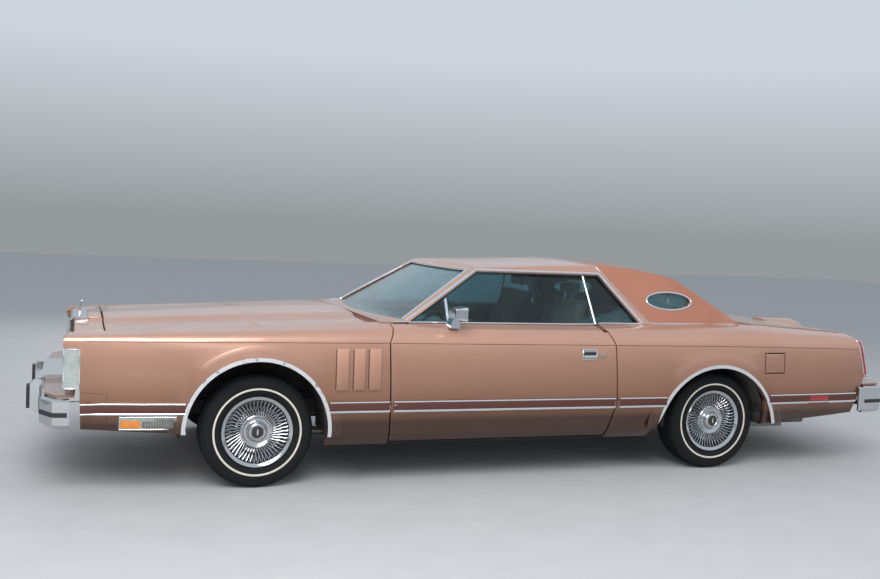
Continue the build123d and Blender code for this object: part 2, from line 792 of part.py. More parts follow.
# Cowl: firewall, hinge pillars, windshield base and the brackets that carry the hood
with BuildPart() as hinge_pillar:
    add(box(pillar_face_x, 1015, 770, 1050, 275, 925))
    add(core_left, mode=Mode.INTERSECT)
with BuildPart() as cowl:
    add(box(1000, 1015, -780, 780, 300, 885))
    add(box(990, 1020, -tunnel_half, tunnel_half, 200, 440), mode=Mode.SUBTRACT)
    add(box(790, 960, -815, 815, 930, roof_base_z))
    add(box(920, 1015, -790, 790, 885, 930))
    add(hinge_pillar.part)
    mirror(hinge_pillar.part, about=Plane.XZ)
    add(fender_left, mode=Mode.SUBTRACT)
    mirror(fender_left, about=Plane.XZ, mode=Mode.SUBTRACT)
    for side in (-1, 1):
        y = side * hood_arm_y
        add(box(950, 1100, y - 26, y + 26, 860, 940), mode=Mode.SUBTRACT)
        for offset_y in (-22, 22):
            add(box(950, 1010, y + offset_y - 5, y + offset_y + 5, 860, 915))
        add(rod(hood_pivot_x, y, hood_pivot_z, pin_radius, 50, across))
save(cowl.part, "cowl")

# Rear deck: shelf under the rear window and the brackets that carry the lid
deck_rear_x = -1740
with BuildPart() as rear_deck:
    add(box(deck_rear_x, -1560, -780, 780, 946, roof_base_z))
    add(box(-1640, -1120, -640, 640, 930, 946))
    add(box(-1640, -1560, -780, 780, 930, 946))
    for side in (-1, 1):
        y = side * lid_arm_y
        add(box(-1760, -1655, y - 26, y + 26, 900, 970), mode=Mode.SUBTRACT)
        for offset_y in (-22, 22):
            add(box(-1700, -1640, y + offset_y - 5, y + offset_y + 5, 905, 946))
        add(rod(lid_pivot_x, y, lid_pivot_z, pin_radius, 50, across))
save(rear_deck.part, "rear_deck")

# Wheelhouses
with BuildPart() as wheelhouse_pair:
    for arch_x, arch_z, radius, inner_y in ((1695, 330, 418, 492), (-1350, 324, 388, 640)):
        with BuildSketch(Plane.XZ.offset(-inner_y)):
            with Locations((arch_x, arch_z)):
                Circle(radius + 8)
        extrude(amount=-560)
        with BuildSketch(Plane.XZ.offset(-inner_y - 8)):
            with Locations((arch_x, arch_z)):
                Circle(radius)
        extrude(amount=-600, mode=Mode.SUBTRACT)
    add(box(1200, 2200, 400, 600, 0, 500), mode=Mode.SUBTRACT)
    add(box(-1800, -900, 600, 700, 0, 440), mode=Mode.SUBTRACT)
    add(box(-3000, 3000, 400, 1100, 0, 300), mode=Mode.SUBTRACT)
    add(core_left, mode=Mode.INTERSECT)
with BuildPart() as wheelhouses:
    add(wheelhouse_pair.part)
    mirror(wheelhouse_pair.part, about=Plane.XZ)
save(wheelhouses.part, "wheelhouses")

# Floor with its tunnel, and the sills under the doors
floor_side = [(870, 282), (1000, 560), (1000, 530), (877, 270), (-717, 270), (-830, 458), (-1714, 488),
              (-1756, 408), (-2555, 408), (-2555, 420), (-1764, 420), (-1722, 500), (-820, 470), (-709, 282)]
with BuildPart() as floor_pan:
    add(window_prism(floor_side, -632, 632))
    for side in (-1, 1):
        y0, y1 = sorted((side * 632, side * 745))
        add(box(-500, 870, y0, y1, 270, 282))
    add(box(-820, 1010, -tunnel_half + 12, tunnel_half - 12, 200, 428), mode=Mode.SUBTRACT)
    add(box(-800, 990, tunnel_half - 12, tunnel_half, 280, 440))
    add(box(-800, 990, -tunnel_half, -tunnel_half + 12, 280, 440))
    add(box(-800, 990, -tunnel_half, tunnel_half, 428, 440))
    for side in (-1, 1):
        sill = [(side * y, z) for y, z in ((742, 245), (928, 245), (922, 255), (812, 262), (812, 400), (742, 400))]
        add(end_prism(sill, -505, 900))
save(floor_pan.part, "floor_pan")

# Chassis frame
rail_side = [(2620, 360), (2620, 440), (1180, 440), (980, 270), (-760, 270), (-940, 455), (-1690, 455), (-1750, 407),
             (-2640, 407), (-2640, 340), (-1900, 340), (-1760, 395), (-990, 395), (-790, 200), (1010, 200), (1210, 360)]
rail_inner_y = 400
rail_outer_y = 480
with BuildPart() as chassis_frame:
    add(window_prism(rail_side, rail_inner_y, rail_outer_y))
    add(window_prism(rail_side, -rail_outer_y, -rail_inner_y))
    for x, z0, z1 in ((2560, 370, 430), (700, 228.3, 268), (-650, 228.3, 268), (-1500, 440, 455), (-2600, 350, 400)):
        add(box(x - 30, x + 30, -rail_inner_y, rail_inner_y, z0, z1))
    add(box(front_axle_x - 60, front_axle_x + 60, -rail_outer_y, rail_outer_y, 205, 340))
    for side in (-1, 1):
        y0, y1 = sorted((side * rail_inner_y, side * rail_outer_y))
        add(box(front_axle_x - 60, front_axle_x + 60, y0, y1, 205, 362))
save(chassis_frame.part, "chassis_frame")

# Engine with its gearbox as plain blocks
with BuildPart() as engine:
    add(box(1250, 1950, -290, 290, 340, 820))
    add(box(700, 1250, -120, 120, 290, 410))
save(engine.part, "engine")

# Rear axle with its shaft and springs
spring_top_z = 395 - seat_gap
with BuildPart() as rear_axle:
    add(rod(rear_axle_x, 0, hub_z, 40, 1440, across))
    add(rod(rear_axle_x, 0, hub_z, spindle_radius, rear_track + 40, across))
    add(rod(rear_axle_x, 0, hub_z, 120, 110, across))
    add(rod((700 + rear_axle_x) / 2, 0, hub_z, 36, 700 - rear_axle_x, along))
    for side in (-1, 1):
        add(rod(rear_axle_x, side * 440, (hub_z + spring_top_z) / 2, 55, spring_top_z - hub_z, upright))
save(rear_axle.part, "rear_axle")

# Front suspension arms
kingpin_y = 700
knuckle_low_z = 225.3
knuckle_high_z = 450
with BuildPart() as front_suspension:
    for side in (-1, 1):
        for z0, z1, inner in ((205, 225, rail_outer_y), (knuckle_high_z + seat_gap, 464, rail_inner_y)):
            arm = [(front_axle_x - 60, side * inner), (front_axle_x + 60, side * inner),
                   (front_axle_x + 24, side * (kingpin_y + 24)), (front_axle_x - 24, side * (kingpin_y + 24))]
            add(flat_prism(arm, z0, z1))
        y0, y1 = sorted((side * rail_inner_y, side * rail_outer_y))
        add(box(front_axle_x - 58, front_axle_x + 58, y0, y1, 440, 452))
        add(rod(front_axle_x, side * kingpin_y, 340, 10 + running_gap, 400, upright), mode=Mode.SUBTRACT)
save(front_suspension.part, "front_suspension")

with BuildPart() as knuckle:
    mid_z = (knuckle_low_z + knuckle_high_z) / 2
    add(rod(front_axle_x, kingpin_y, mid_z, 26, knuckle_high_z - knuckle_low_z, upright))
    add(rod(front_axle_x, kingpin_y, (208 + 462) / 2, 10, 462 - 208, upright))
    add(rod(front_axle_x, (kingpin_y + front_track / 2 + 20) / 2, hub_z, spindle_radius,
            front_track / 2 + 20 - kingpin_y, across))
    add(box(front_axle_x - 150, front_axle_x, kingpin_y - 8, kingpin_y + 8, 270, 300))
save_pair(knuckle.part, "knuckle")

# Exhaust and tank
with BuildPart() as exhaust:
    for side in (-1, 1):
        add(rod(-650, side * 300, 200, 28, 3900, along))
        add(box(-2350, -1900, side * 300 - 90, side * 300 + 90, 165, 240))
save(exhaust.part, "exhaust")

flap_back_y = outer_y(fuel_x - 28, fuel_z + 28) - flap_depth - 2 * seat_gap
neck_y = 670
neck_low_z = 308
with BuildPart() as fuel_tank:
    add(box(-2350, -1850, -390, 390, 262, 408 - seat_gap))
    add(rod(fuel_x, (neck_y + flap_back_y) / 2, fuel_z, 28, flap_back_y - neck_y, across))
    add(box(fuel_x - 18, fuel_x + 18, neck_y - 18, neck_y + 18, neck_low_z - 15, fuel_z))
    add(box(fuel_x - 15, fuel_x + 15, 345, neck_y, neck_low_z - 15, neck_low_z + 15))
    add(box(-1860, fuel_x, 350, 380, neck_low_z - 15, neck_low_z + 15))
save(fuel_tank.part, "fuel_tank")

# Rear panel under the lid
with BuildPart() as rear_panel:
    add(box(-2598, -2555, -770, 770, 407, 618))
    add(bumper_shelf(rear_bumper_plan, 556, (-2836, -2598), (-1000, 1000)))
save(rear_panel.part, "rear_panel")

# Seats
floor_top_z = 282
cushion_side = [(-330, floor_top_z + seat_gap), (270, floor_top_z + seat_gap), (300, 540), (270, 600), (-240, 560), (-420, 1010), (-450, 1120),
                (-520, 1120), (-510, 1000), (-400, 560)]
headrest_side = [(-462, 1112), (-512, 1112), (-540, 1200), (-528, 1216), (-470, 1216), (-458, 1200)]
headrest_y = 425
headrest_half = 120
with BuildPart() as front_seat:
    for side in (-1, 1):
        y0, y1 = sorted((side * 160, side * 690))
        add(window_prism(cushion_side, y0, y1))
        add(window_prism(headrest_side, side * headrest_y - headrest_half, side * headrest_y + headrest_half))
save(front_seat.part, "front_seat")

rear_side = [(-815, 474), (-705, floor_top_z + seat_gap), (-560, floor_top_z + seat_gap), (-540, 560), (-580, 600), (-920, 580), (-1040, 925), (-1115, 925),
             (-1090, 483)]
with BuildPart() as rear_seat:
    add(window_prism(rear_side, -620, 620))
    add(box(-840, -500, -tunnel_half - seat_gap, tunnel_half + seat_gap, 270, 440 + seat_gap), mode=Mode.SUBTRACT)
save(rear_seat.part, "rear_seat")

# Dashboard with the instrument hood and the steering column
wheel_centre = (330, 400, 900)
column_plane = Plane(origin=wheel_centre, x_dir=(0, 1, 0), z_dir=(0.9063, 0, -0.4226))
with BuildPart() as dashboard:
    add(window_prism([(560, 720), (640, 640), (900, 640), (945, 760), (945, 884), (918, 884), (918, 930), (640, 930),
                      (570, 900)], -790, 790))
    add(window_prism([(600, 880), (560, 944), (572, 962), (690, 952), (760, 925)], 190, 610))
    with BuildSketch(column_plane.offset(28.3)):
        Circle(24)
    extrude(amount=280)
save(dashboard.part, "dashboard")

steering_radius = 190
rim_sides = 32
with BuildPart() as steering_wheel:
    with BuildSketch(column_plane.offset(-15)):
        Circle(40)
    extrude(amount=43)
    with BuildSketch(column_plane.offset(-8)):
        Rectangle(380, 34)
    extrude(amount=12)
    with BuildSketch(column_plane.offset(-12)):
        RegularPolygon(steering_radius + 12, rim_sides)
        RegularPolygon(steering_radius - 12, rim_sides, mode=Mode.SUBTRACT)
    extrude(amount=24)
save(steering_wheel.part, "steering_wheel")

# Lamps
with BuildPart() as turn_lamp:
    add(side_left)
    add(box(2640 + seat_gap, 2724, 812, 1000, 585, 800.7), mode=Mode.INTERSECT)
with BuildPart() as turn_lamps:
    add(turn_lamp.part)
    mirror(turn_lamp.part, about=Plane.XZ)
save(turn_lamps.part, "turn_lamps")

with BuildPart() as headlamps:
    for side in (-1, 1):
        for y in (420, 640):
            add(rod(2570, side * y, 690, 70, 50, along))
save(headlamps.part, "headlamps")

tail_outline = [(-2598.5, 620), (-2634, 620), (-2576, 878), (-2542, 878)]
trim_proud = 12
with BuildPart() as trim_layer:
    add(side_core(-trim_proud))
    add(side_core(0), mode=Mode.SUBTRACT)
    add(box(-3000, 3000, 600, 1100, 0, 1200), mode=Mode.INTERSECT)


def trim(outline):
    with BuildPart() as strip:
        add(trim_layer.part)
        add(window_prism(outline, 700, 1100), mode=Mode.INTERSECT)
    return strip.part


def rectangle(x0, x1, z0, z1):
    return [(x0, z0), (x1, z0), (x1, z1), (x0, z1)]


strip_low_z = 445
strip_high_z = 490
marker = rectangle(-2272, -2096, strip_low_z, strip_high_z)
with BuildPart() as tail_lamp:
    add(side_left)
    add(window_prism(tail_outline, 765, 1100), mode=Mode.INTERSECT)
with BuildPart() as tail_lamps:
    add(tail_lamp.part)
    mirror(tail_lamp.part, about=Plane.XZ)
    add(trim(marker))
    mirror(trim(marker), about=Plane.XZ)
save(tail_lamps.part, "tail_lamps")

with BuildPart() as cornering_lamp:
    add(trim(rectangle(2136, 2438, 363, 439)))
    add(front_flare, mode=Mode.SUBTRACT)
with BuildPart() as cornering_lamps:
    add(cornering_lamp.part)
    mirror(cornering_lamp.part, about=Plane.XZ)
save(cornering_lamps.part, "cornering_lamps")

# Mouldings, arch trims and vents on the fixed panels
with BuildPart() as side_trim_left:
    for x0, x1 in ((929, 1290), (2130, 2620), (-930, -592), (-2090, -1765), (-2520, -2278)):
        add(trim(rectangle(x0, x1, strip_low_z, strip_high_z)))
    add(front_flare, mode=Mode.SUBTRACT)
    add(rear_flare, mode=Mode.SUBTRACT)
    add(arch_trim(front_arch, fender_prism.part))
    add(arch_trim(rear_arch, quarter_prism.part))
with BuildPart() as side_trim:
    add(side_trim_left.part)
    mirror(side_trim_left.part, about=Plane.XZ)
save(side_trim.part, "side_trim")

with BuildPart() as fender_vents:
    for x0, x1 in ((992, 1064), (1088, 1155), (1186, 1257)):
        vent = trim(rectangle(x0, x1, 578, 817))
        add(vent)
        mirror(vent, about=Plane.XZ)
save(fender_vents.part, "fender_vents")

# Door trim: moulding, handle, lock, mirror and the upright bar on the drop glass
with BuildPart() as vent_bar:
    add(greenhouse(glass_inset - 8, roof_base_z - 20))
    add(greenhouse(glass_inset - seat_gap, roof_base_z - 30), mode=Mode.SUBTRACT)
    add(window_prism(rectangle(512, 526, 950, 1100), 500, 1000), mode=Mode.INTERSECT)
with BuildPart() as door_trim:
    add(trim(rectangle(-565, 905, strip_low_z, strip_high_z)))
    add(trim(rectangle(-417, -313, 760, 812)))
    add(trim(rectangle(-470, -445, 774, 799)))
    with BuildSketch(Plane.YZ.offset(490)):
        with Locations((995, 1028)):
            RectangleRounded(140, 84, 14)
    extrude(amount=72, taper=9)
    add(window_prism([(495, 936), (560, 936), (545, 990), (505, 990)], 880, 960))
    add(side_left, mode=Mode.SUBTRACT)
    add(vent_bar.part)
save_pair(door_trim.part, "door_trim")

# Fuel flap
with BuildPart() as fuel_door:
    add(side_left)
    add(side_core(flap_depth), mode=Mode.SUBTRACT)
    add(window_prism(rectangle(fuel_x - fuel_half_x + flap_gap, fuel_x + fuel_half_x - flap_gap,
                               fuel_z - fuel_half_z + flap_gap, fuel_z + fuel_half_z - flap_gap), 900, 1100),
        mode=Mode.INTERSECT)
    add(rod(flap_pin_x, flap_pin_y, fuel_z, flap_pin_radius, flap_pin_length, upright))
save(fuel_door.part, "fuel_door")

# Wheels and tyres, drawn about the origin with the axle along Y and the outer face at +Y
axle_plane = Plane(origin=(0, 0, 0), x_dir=(1, 0, 0), z_dir=(0, 1, 0))
# Tyre outside, from one sidewall to the other: place along the axle and radius
tyre_sides = 56
tyre_profile = [(tyre_half_width, 250), (103, 294), (90, 314), (70, tyre_radius)]
bead_profile = [(86, bead_radius + 0.7), (88, 208), (100, 216), (tyre_half_width + 1, 252)]


def many_sided(profile):
    with BuildPart() as form:
        for place_y, radius in profile:
            with BuildSketch(axle_plane.offset(place_y)):
                RegularPolygon(radius, tyre_sides)
        loft(ruled=True)
    return form.part


with BuildPart() as tyre_shape:
    add(many_sided([(-place_y, radius) for place_y, radius in tyre_profile] + list(reversed(tyre_profile))))
    add(many_sided([(-place_y, radius) for place_y, radius in reversed(bead_profile)] + bead_profile),
        mode=Mode.SUBTRACT)

with BuildPart(axle_plane) as wheel_shape:
    with BuildSketch(Plane.XY):
        with BuildLine():
            Polyline((182, -98), (rim_radius, -98), (rim_radius, -91), (bead_radius, -89), (bead_radius, 89),
                     (rim_radius, 91), (rim_radius, 99), (176, 99), (176, 30), (spindle_radius + running_gap, 30),
                     (spindle_radius + running_gap, -60), (45, -60), (45, 18), (182, 18), close=True)
        make_face()
        with BuildLine():
            Polyline((0, 29), (58, 29), (60, 66), (40, 96), (28, 104), (0, 104), close=True)
        make_face()
    revolve(axis=Axis.Y)
    for depth, lean in ((84, 8), (72, -8)):
        with PolarLocations(118, spoke_count):
            with Locations((0, 0, depth)):
                Box(128, 4, 5, rotation=(0, -5, lean))

for corner_x, track, end in ((front_axle_x, front_track, "front"), (rear_axle_x, rear_track, "rear")):
    for side, hand in ((1, "left"), (-1, "right")):
        place = Location((corner_x, side * track / 2, hub_z), (0, 0, 0 if side > 0 else 180))
        save(wheel_shape.part.moved(place), "wheel_" + end + "_" + hand)
        save(tyre_shape.part.moved(place), "tyre_" + end + "_" + hand)
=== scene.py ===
import bpy
import json
import math
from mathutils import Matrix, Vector
from mathutils.bvhtree import BVHTree


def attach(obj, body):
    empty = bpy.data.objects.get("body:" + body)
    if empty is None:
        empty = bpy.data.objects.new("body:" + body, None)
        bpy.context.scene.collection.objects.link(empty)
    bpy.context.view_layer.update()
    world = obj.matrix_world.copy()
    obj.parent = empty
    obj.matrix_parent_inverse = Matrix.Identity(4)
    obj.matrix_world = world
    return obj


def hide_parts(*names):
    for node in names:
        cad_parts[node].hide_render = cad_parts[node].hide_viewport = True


# Luxury coupe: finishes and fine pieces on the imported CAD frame, in metres
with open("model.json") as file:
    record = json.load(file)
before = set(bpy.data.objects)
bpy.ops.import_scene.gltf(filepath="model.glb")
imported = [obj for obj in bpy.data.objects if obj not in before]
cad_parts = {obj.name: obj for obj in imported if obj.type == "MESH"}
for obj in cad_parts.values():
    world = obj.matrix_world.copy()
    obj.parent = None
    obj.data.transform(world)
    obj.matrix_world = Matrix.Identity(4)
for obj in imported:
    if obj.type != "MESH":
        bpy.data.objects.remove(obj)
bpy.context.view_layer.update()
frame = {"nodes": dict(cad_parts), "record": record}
nodes = frame["nodes"]
mergeDistance = 0.00002
print("frame loaded:", len(nodes), "nodes")


# Small tools that work on one piece at a time
def deselect():
    if bpy.context.mode != "OBJECT":
        bpy.ops.object.mode_set(mode="OBJECT")
    bpy.ops.object.select_all(action="DESELECT")


def only(piece):
    deselect()
    piece.select_set(True)
    bpy.context.view_layer.objects.active = piece


def edit(piece):
    only(piece)
    bpy.ops.object.mode_set(mode="EDIT")


def editWhole(piece):
    edit(piece)
    bpy.ops.mesh.select_all(action="SELECT")


def settle(piece):
    # puts the piece's place into its mesh
    only(piece)
    bpy.ops.object.transform_apply(location=True, rotation=True, scale=True)


def faceOutwards(piece, merge=True):
    editWhole(piece)
    if merge:
        bpy.ops.mesh.remove_doubles(threshold=mergeDistance)
    bpy.ops.mesh.normals_make_consistent(inside=False)
    bpy.ops.object.mode_set(mode="OBJECT")


def applyModifier(piece, kind, **values):
    only(piece)
    modifier = piece.modifiers.new(kind.title(), kind)
    for key, value in values.items():
        setattr(modifier, key, value)
    bpy.ops.object.modifier_apply(modifier=modifier.name)


def smooth(piece, degrees=35):
    only(piece)
    bpy.ops.object.shade_smooth_by_angle(angle=math.radians(degrees))


def join(pieces, name):
    deselect()
    for piece in pieces:
        piece.select_set(True)
    bpy.context.view_layer.objects.active = pieces[0]
    if len(pieces) > 1:
        bpy.ops.object.join()
    joined = bpy.context.object
    joined.name = name
    return joined


def copyOf(piece, name):
    twin = piece.copy()
    twin.data = piece.data.copy()
    twin.name = name
    bpy.context.scene.collection.objects.link(twin)
    return twin


def mirrored(piece, name):
    # the same piece on the car's other side
    twin = copyOf(piece, name)
    only(twin)
    twin.scale = (1, -1, 1)
    settle(twin)
    faceOutwards(twin, merge=False)
    return twin


def paintWith(piece, *materials):
    piece.data.materials.clear()
    for material in materials:
        piece.data.materials.append(material)


def drawOutline(name, points):
    # one corner pulled from point to point, left in edit mode with all of it selected
    deselect()
    bpy.ops.mesh.primitive_plane_add(size=0.01, location=points[0])
    piece = bpy.context.object
    piece.name = name
    editWhole(piece)
    bpy.ops.mesh.merge(type="CENTER")
    for before, after in zip(points, points[1:]):
        move = [b - a for a, b in zip(before, after)]
        bpy.ops.mesh.extrude_vertices_move(TRANSFORM_OT_translate={"value": move})
    bpy.ops.mesh.select_all(action="SELECT")
    return piece


def lathe(name, profile, centre, steps=64):
    # a profile of (along the axle, radius) points turned round the axle through centre
    cx, cy, cz = centre
    piece = drawOutline(name, [(cx, cy + step, cz + radius) for step, radius in profile])
    bpy.ops.mesh.spin(steps=steps, angle=2 * math.pi, center=centre, axis=(0, 1, 0))
    faceOutwards(piece)
    settle(piece)
    return piece


def block(name, low, high, bevel=0.002, segments=2):
    # a box between two corners with rounded edges
    deselect()
    middle = [(a + b) / 2 for a, b in zip(low, high)]
    bpy.ops.mesh.primitive_cube_add(size=1, location=middle)
    piece = bpy.context.object
    piece.name = name
    piece.scale = [b - a for a, b in zip(low, high)]
    settle(piece)
    if bevel:
        editWhole(piece)
        bpy.ops.mesh.bevel(offset=bevel, segments=segments, affect="EDGES")
        bpy.ops.object.mode_set(mode="OBJECT")
    smooth(piece, 40)
    return piece


# Materials
def setValues(node, values):
    for socket, value in values.items():
        node.inputs[socket].default_value = value


def place(tree, scale):
    coords = tree.nodes.new("ShaderNodeTexCoord")
    mapping = tree.nodes.new("ShaderNodeMapping")
    mapping.inputs["Scale"].default_value = scale
    tree.links.new(coords.outputs["Object"], mapping.inputs["Vector"])
    return mapping.outputs["Vector"]


def newMaterial(name, scale=(1, 1, 1)):
    material = bpy.data.materials.new(name)
    material.use_nodes = True
    tree = material.node_tree
    tree.nodes.clear()
    out = tree.nodes.new("ShaderNodeOutputMaterial")
    shader = tree.nodes.new("ShaderNodeBsdfPrincipled")
    tree.links.new(shader.outputs["BSDF"], out.inputs["Surface"])
    return material, tree, shader, place(tree, scale)


def noise(tree, vector, scale, detail=3.0, roughness=0.5):
    node = tree.nodes.new("ShaderNodeTexNoise")
    setValues(node, {"Scale": scale, "Detail": detail, "Roughness": roughness})
    tree.links.new(vector, node.inputs["Vector"])
    return node.outputs["Fac"]


def ramp(tree, value, *stops):
    node = tree.nodes.new("ShaderNodeValToRGB")
    points = node.color_ramp.elements
    while len(points) < len(stops):
        points.new(0.5)
    for point, (position, colour) in zip(points, stops):
        point.position = position
        point.color = (*colour, 1) if len(colour) == 3 else colour
    tree.links.new(value, node.inputs["Fac"])
    return node.outputs["Color"]


def feed(tree, shader, socket, value, *stops):
    # a ramp of the value into one of the shader's sockets
    tree.links.new(ramp(tree, value, *stops), shader.inputs[socket])


def grey(value):
    return (value, value, value)


def tint(tree, kind, factor, first, second):
    node = tree.nodes.new("ShaderNodeMix")
    node.data_type = "RGBA"
    node.blend_type = kind
    if isinstance(factor, float):
        node.inputs["Factor"].default_value = factor
    else:
        tree.links.new(factor, node.inputs["Factor"])
    for socket, source in ((node.inputs["A"], first), (node.inputs["B"], second)):
        if isinstance(source, tuple):
            socket.default_value = (*source, 1)
        else:
            tree.links.new(source, socket)
    return node.outputs["Result"]


def relief(tree, shader, height, strength, distance=0.001):
    node = tree.nodes.new("ShaderNodeBump")
    setValues(node, {"Strength": strength, "Distance": distance})
    tree.links.new(height, node.inputs["Height"])
    tree.links.new(node.outputs["Normal"], shader.inputs["Normal"])


def axisOf(tree, vector, axis):
    node = tree.nodes.new("ShaderNodeSeparateXYZ")
    tree.links.new(vector, node.inputs["Vector"])
    return node.outputs[axis]


# the low-side and sill colours below are painted shade, faded in below the given heights
paint = {
    "base": (0.46, 0.255, 0.180), "flake": (0.56, 0.325, 0.240), "shade": (0.39, 0.205, 0.145),
    "paintedLowShade": (0.22, 0.100, 0.055), "paintedSillShade": (0.055, 0.024, 0.014),
    "lowShadeFade": (0.86, 0.50), "sillShadeFade": (0.452, 0.385),
    "metallic": 0.40, "roughness": 0.33, "coat": 0.7,
}


def fadeDown(tree, height, top, bottom):
    # nothing above top and all of it below bottom
    node = tree.nodes.new("ShaderNodeMapRange")
    setValues(node, {"From Min": top, "From Max": bottom})
    tree.links.new(height, node.inputs["Value"])
    return node.outputs["Result"]


def copperPaint(name, lift):
    # lift brightens the paint; on the vents it is a painted highlight, paler than the body's
    material, tree, shader, where = newMaterial(name)
    base, flake = (tuple(min(1.0, value * lift) for value in paint[key]) for key in ("base", "flake"))
    colour = ramp(tree, noise(tree, where, 900, 2), (0.35, base), (0.7, flake))
    tone = ramp(tree, noise(tree, where, 1.3, 3), (0.35, paint["shade"]), (0.65, base))
    colour = tint(tree, "MIX", 0.35, colour, tone)
    # painted shade: the colour darkens low on the body and darker still on the sills
    height = axisOf(tree, where, "Z")
    colour = tint(tree, "MIX", fadeDown(tree, height, *paint["lowShadeFade"]), colour, paint["paintedLowShade"])
    colour = tint(tree, "MIX", fadeDown(tree, height, *paint["sillShadeFade"]), colour, paint["paintedSillShade"])
    tree.links.new(colour, shader.inputs["Base Color"])
    setValues(shader, {"Metallic": paint["metallic"], "Coat Weight": paint["coat"], "Coat Roughness": 0.05})
    smoothest, roughest = (grey(paint["roughness"] + change) for change in (-0.04, 0.05))
    feed(tree, shader, "Roughness", noise(tree, where, 6, 4), (0.3, smoothest), (0.7, roughest))
    relief(tree, shader, noise(tree, where, 140, 2), 0.03, 0.0004)
    return material


def chromePlate(name="chromePlate", colour=(0.90, 0.91, 0.93), roughness=0.07):
    material, tree, shader, where = newMaterial(name)
    film = noise(tree, where, 14, 5, 0.6)
    feed(tree, shader, "Base Color", film, (0.3, tuple(value * 0.93 for value in colour)), (0.7, colour))
    feed(tree, shader, "Roughness", film, (0.3, grey(roughness)), (0.75, grey(roughness + 0.05)))
    shader.inputs["Metallic"].default_value = 1.0
    relief(tree, shader, noise(tree, where, 260, 2), 0.02, 0.0003)
    return material


def tintedGlass():
    material, tree, shader, where = newMaterial("tintedGlass")
    film = noise(tree, where, 5, 4)
    feed(tree, shader, "Base Color", film, (0.3, (0.15, 0.42, 0.47)), (0.7, (0.20, 0.48, 0.53)))
    feed(tree, shader, "Roughness", film, (0.4, grey(0.02)), (0.8, grey(0.05)))
    setValues(shader, {"Transmission Weight": 1.0, "IOR": 1.45, "Alpha": 0.70})
    return material


def plainFinish(name, dark, light, roughness, scale, bump, metallic=0.0, distance=0.0006, coat=0.0):
    # one body of colour with fine grain; the rest of the finishes start here
    material, tree, shader, where = newMaterial(name)
    grain = noise(tree, where, scale, 5, 0.6)
    feed(tree, shader, "Base Color", grain, (0.3, dark), (0.7, light))
    feed(tree, shader, "Roughness", grain, (0.3, grey(roughness)), (0.7, grey(roughness + 0.08)))
    setValues(shader, {"Metallic": metallic, "Coat Weight": coat})
    if bump:
        relief(tree, shader, grain, bump, distance)
    return material


def roofVinyl():
    material, tree, shader, where = newMaterial("roofVinyl")
    cells = tree.nodes.new("ShaderNodeTexVoronoi")
    cells.inputs["Scale"].default_value = 420
    tree.links.new(where, cells.inputs["Vector"])
    cloud = noise(tree, where, 3, 4)
    colour = ramp(tree, cloud, (0.3, (0.31, 0.125, 0.075)), (0.7, (0.37, 0.155, 0.096)))
    grain = ramp(tree, cells.outputs["Distance"], (0.0, grey(0.72)), (0.5, grey(1.0)))
    tree.links.new(tint(tree, "MULTIPLY", 0.5, colour, grain), shader.inputs["Base Color"])
    feed(tree, shader, "Roughness", cloud, (0.3, grey(0.46)), (0.7, grey(0.58)))
    relief(tree, shader, cells.outputs["Distance"], 0.35, 0.0008)
    return material


copper = copperPaint("copperPaint", 1.0)
paintedHighlightCopper = copperPaint("paintedHighlightCopper", 1.55)
# a dark copy of the body paint, for lines of painted shade
paintedShadeCopper = plainFinish("paintedShadeCopper", (0.075, 0.032, 0.022), (0.11, 0.048, 0.034), 0.45, 60, 0.0)
chrome = chromePlate()
castChrome = chromePlate("castChrome", (0.60, 0.615, 0.63), 0.10)
plateEnamel = plainFinish("plateEnamel", (0.60, 0.60, 0.57), (0.70, 0.70, 0.67), 0.42, 30, 0.05)
satinChrome = chromePlate("satinChrome", (0.62, 0.63, 0.65), 0.22)
glass = tintedGlass()
vinyl = roofVinyl()
tyreRubber = plainFinish("tyreRubber", (0.005, 0.006, 0.007), (0.010, 0.011, 0.012), 0.78, 60, 0.25)
tyreRubber.node_tree.nodes["Principled BSDF"].inputs["Specular IOR Level"].default_value = 0.25
whiteRing = plainFinish("whiteRing", (0.55, 0.50, 0.42), (0.66, 0.62, 0.54), 0.55, 90, 0.1)
darkRubber = plainFinish("darkRubber", (0.014, 0.014, 0.015), (0.028, 0.028, 0.03), 0.55, 120, 0.2)
underBlack = plainFinish("underBlack", (0.010, 0.010, 0.010), (0.030, 0.027, 0.024), 0.7, 25, 0.4, distance=0.002)
ironBlock = plainFinish("ironBlock", (0.03, 0.045, 0.07), (0.05, 0.07, 0.10), 0.5, 40, 0.4, metallic=0.3)
agedSteel = plainFinish("agedSteel", (0.20, 0.19, 0.18), (0.34, 0.32, 0.30), 0.42, 30, 0.25, metallic=0.9)
seatLeather = plainFinish("seatLeather", (0.27, 0.135, 0.10), (0.36, 0.19, 0.14), 0.48, 260, 0.4)
dashGrain = plainFinish("dashGrain", (0.15, 0.065, 0.045), (0.21, 0.095, 0.07), 0.55, 400, 0.35)
lensClear = plainFinish("lensClear", (0.27, 0.31, 0.29), (0.36, 0.40, 0.38), 0.12, 30, 0.1, coat=1.0)
lensRed = plainFinish("lensRed", (0.22, 0.006, 0.010), (0.34, 0.012, 0.018), 0.15, 30, 0.1, coat=1.0)
lensAmber = plainFinish("lensAmber", (0.52, 0.16, 0.012), (0.66, 0.22, 0.02), 0.15, 30, 0.1, coat=1.0)
lensSmoke = plainFinish("lensSmoke", (0.075, 0.078, 0.065), (0.13, 0.135, 0.12), 0.12, 30, 0.1, coat=1.0)
mouldingRubber = plainFinish("mouldingRubber", (0.060, 0.018, 0.013), (0.095, 0.030, 0.022), 0.5, 160, 0.2)
mirrorSilver = chromePlate("mirrorSilver", (0.86, 0.88, 0.90), 0.03)


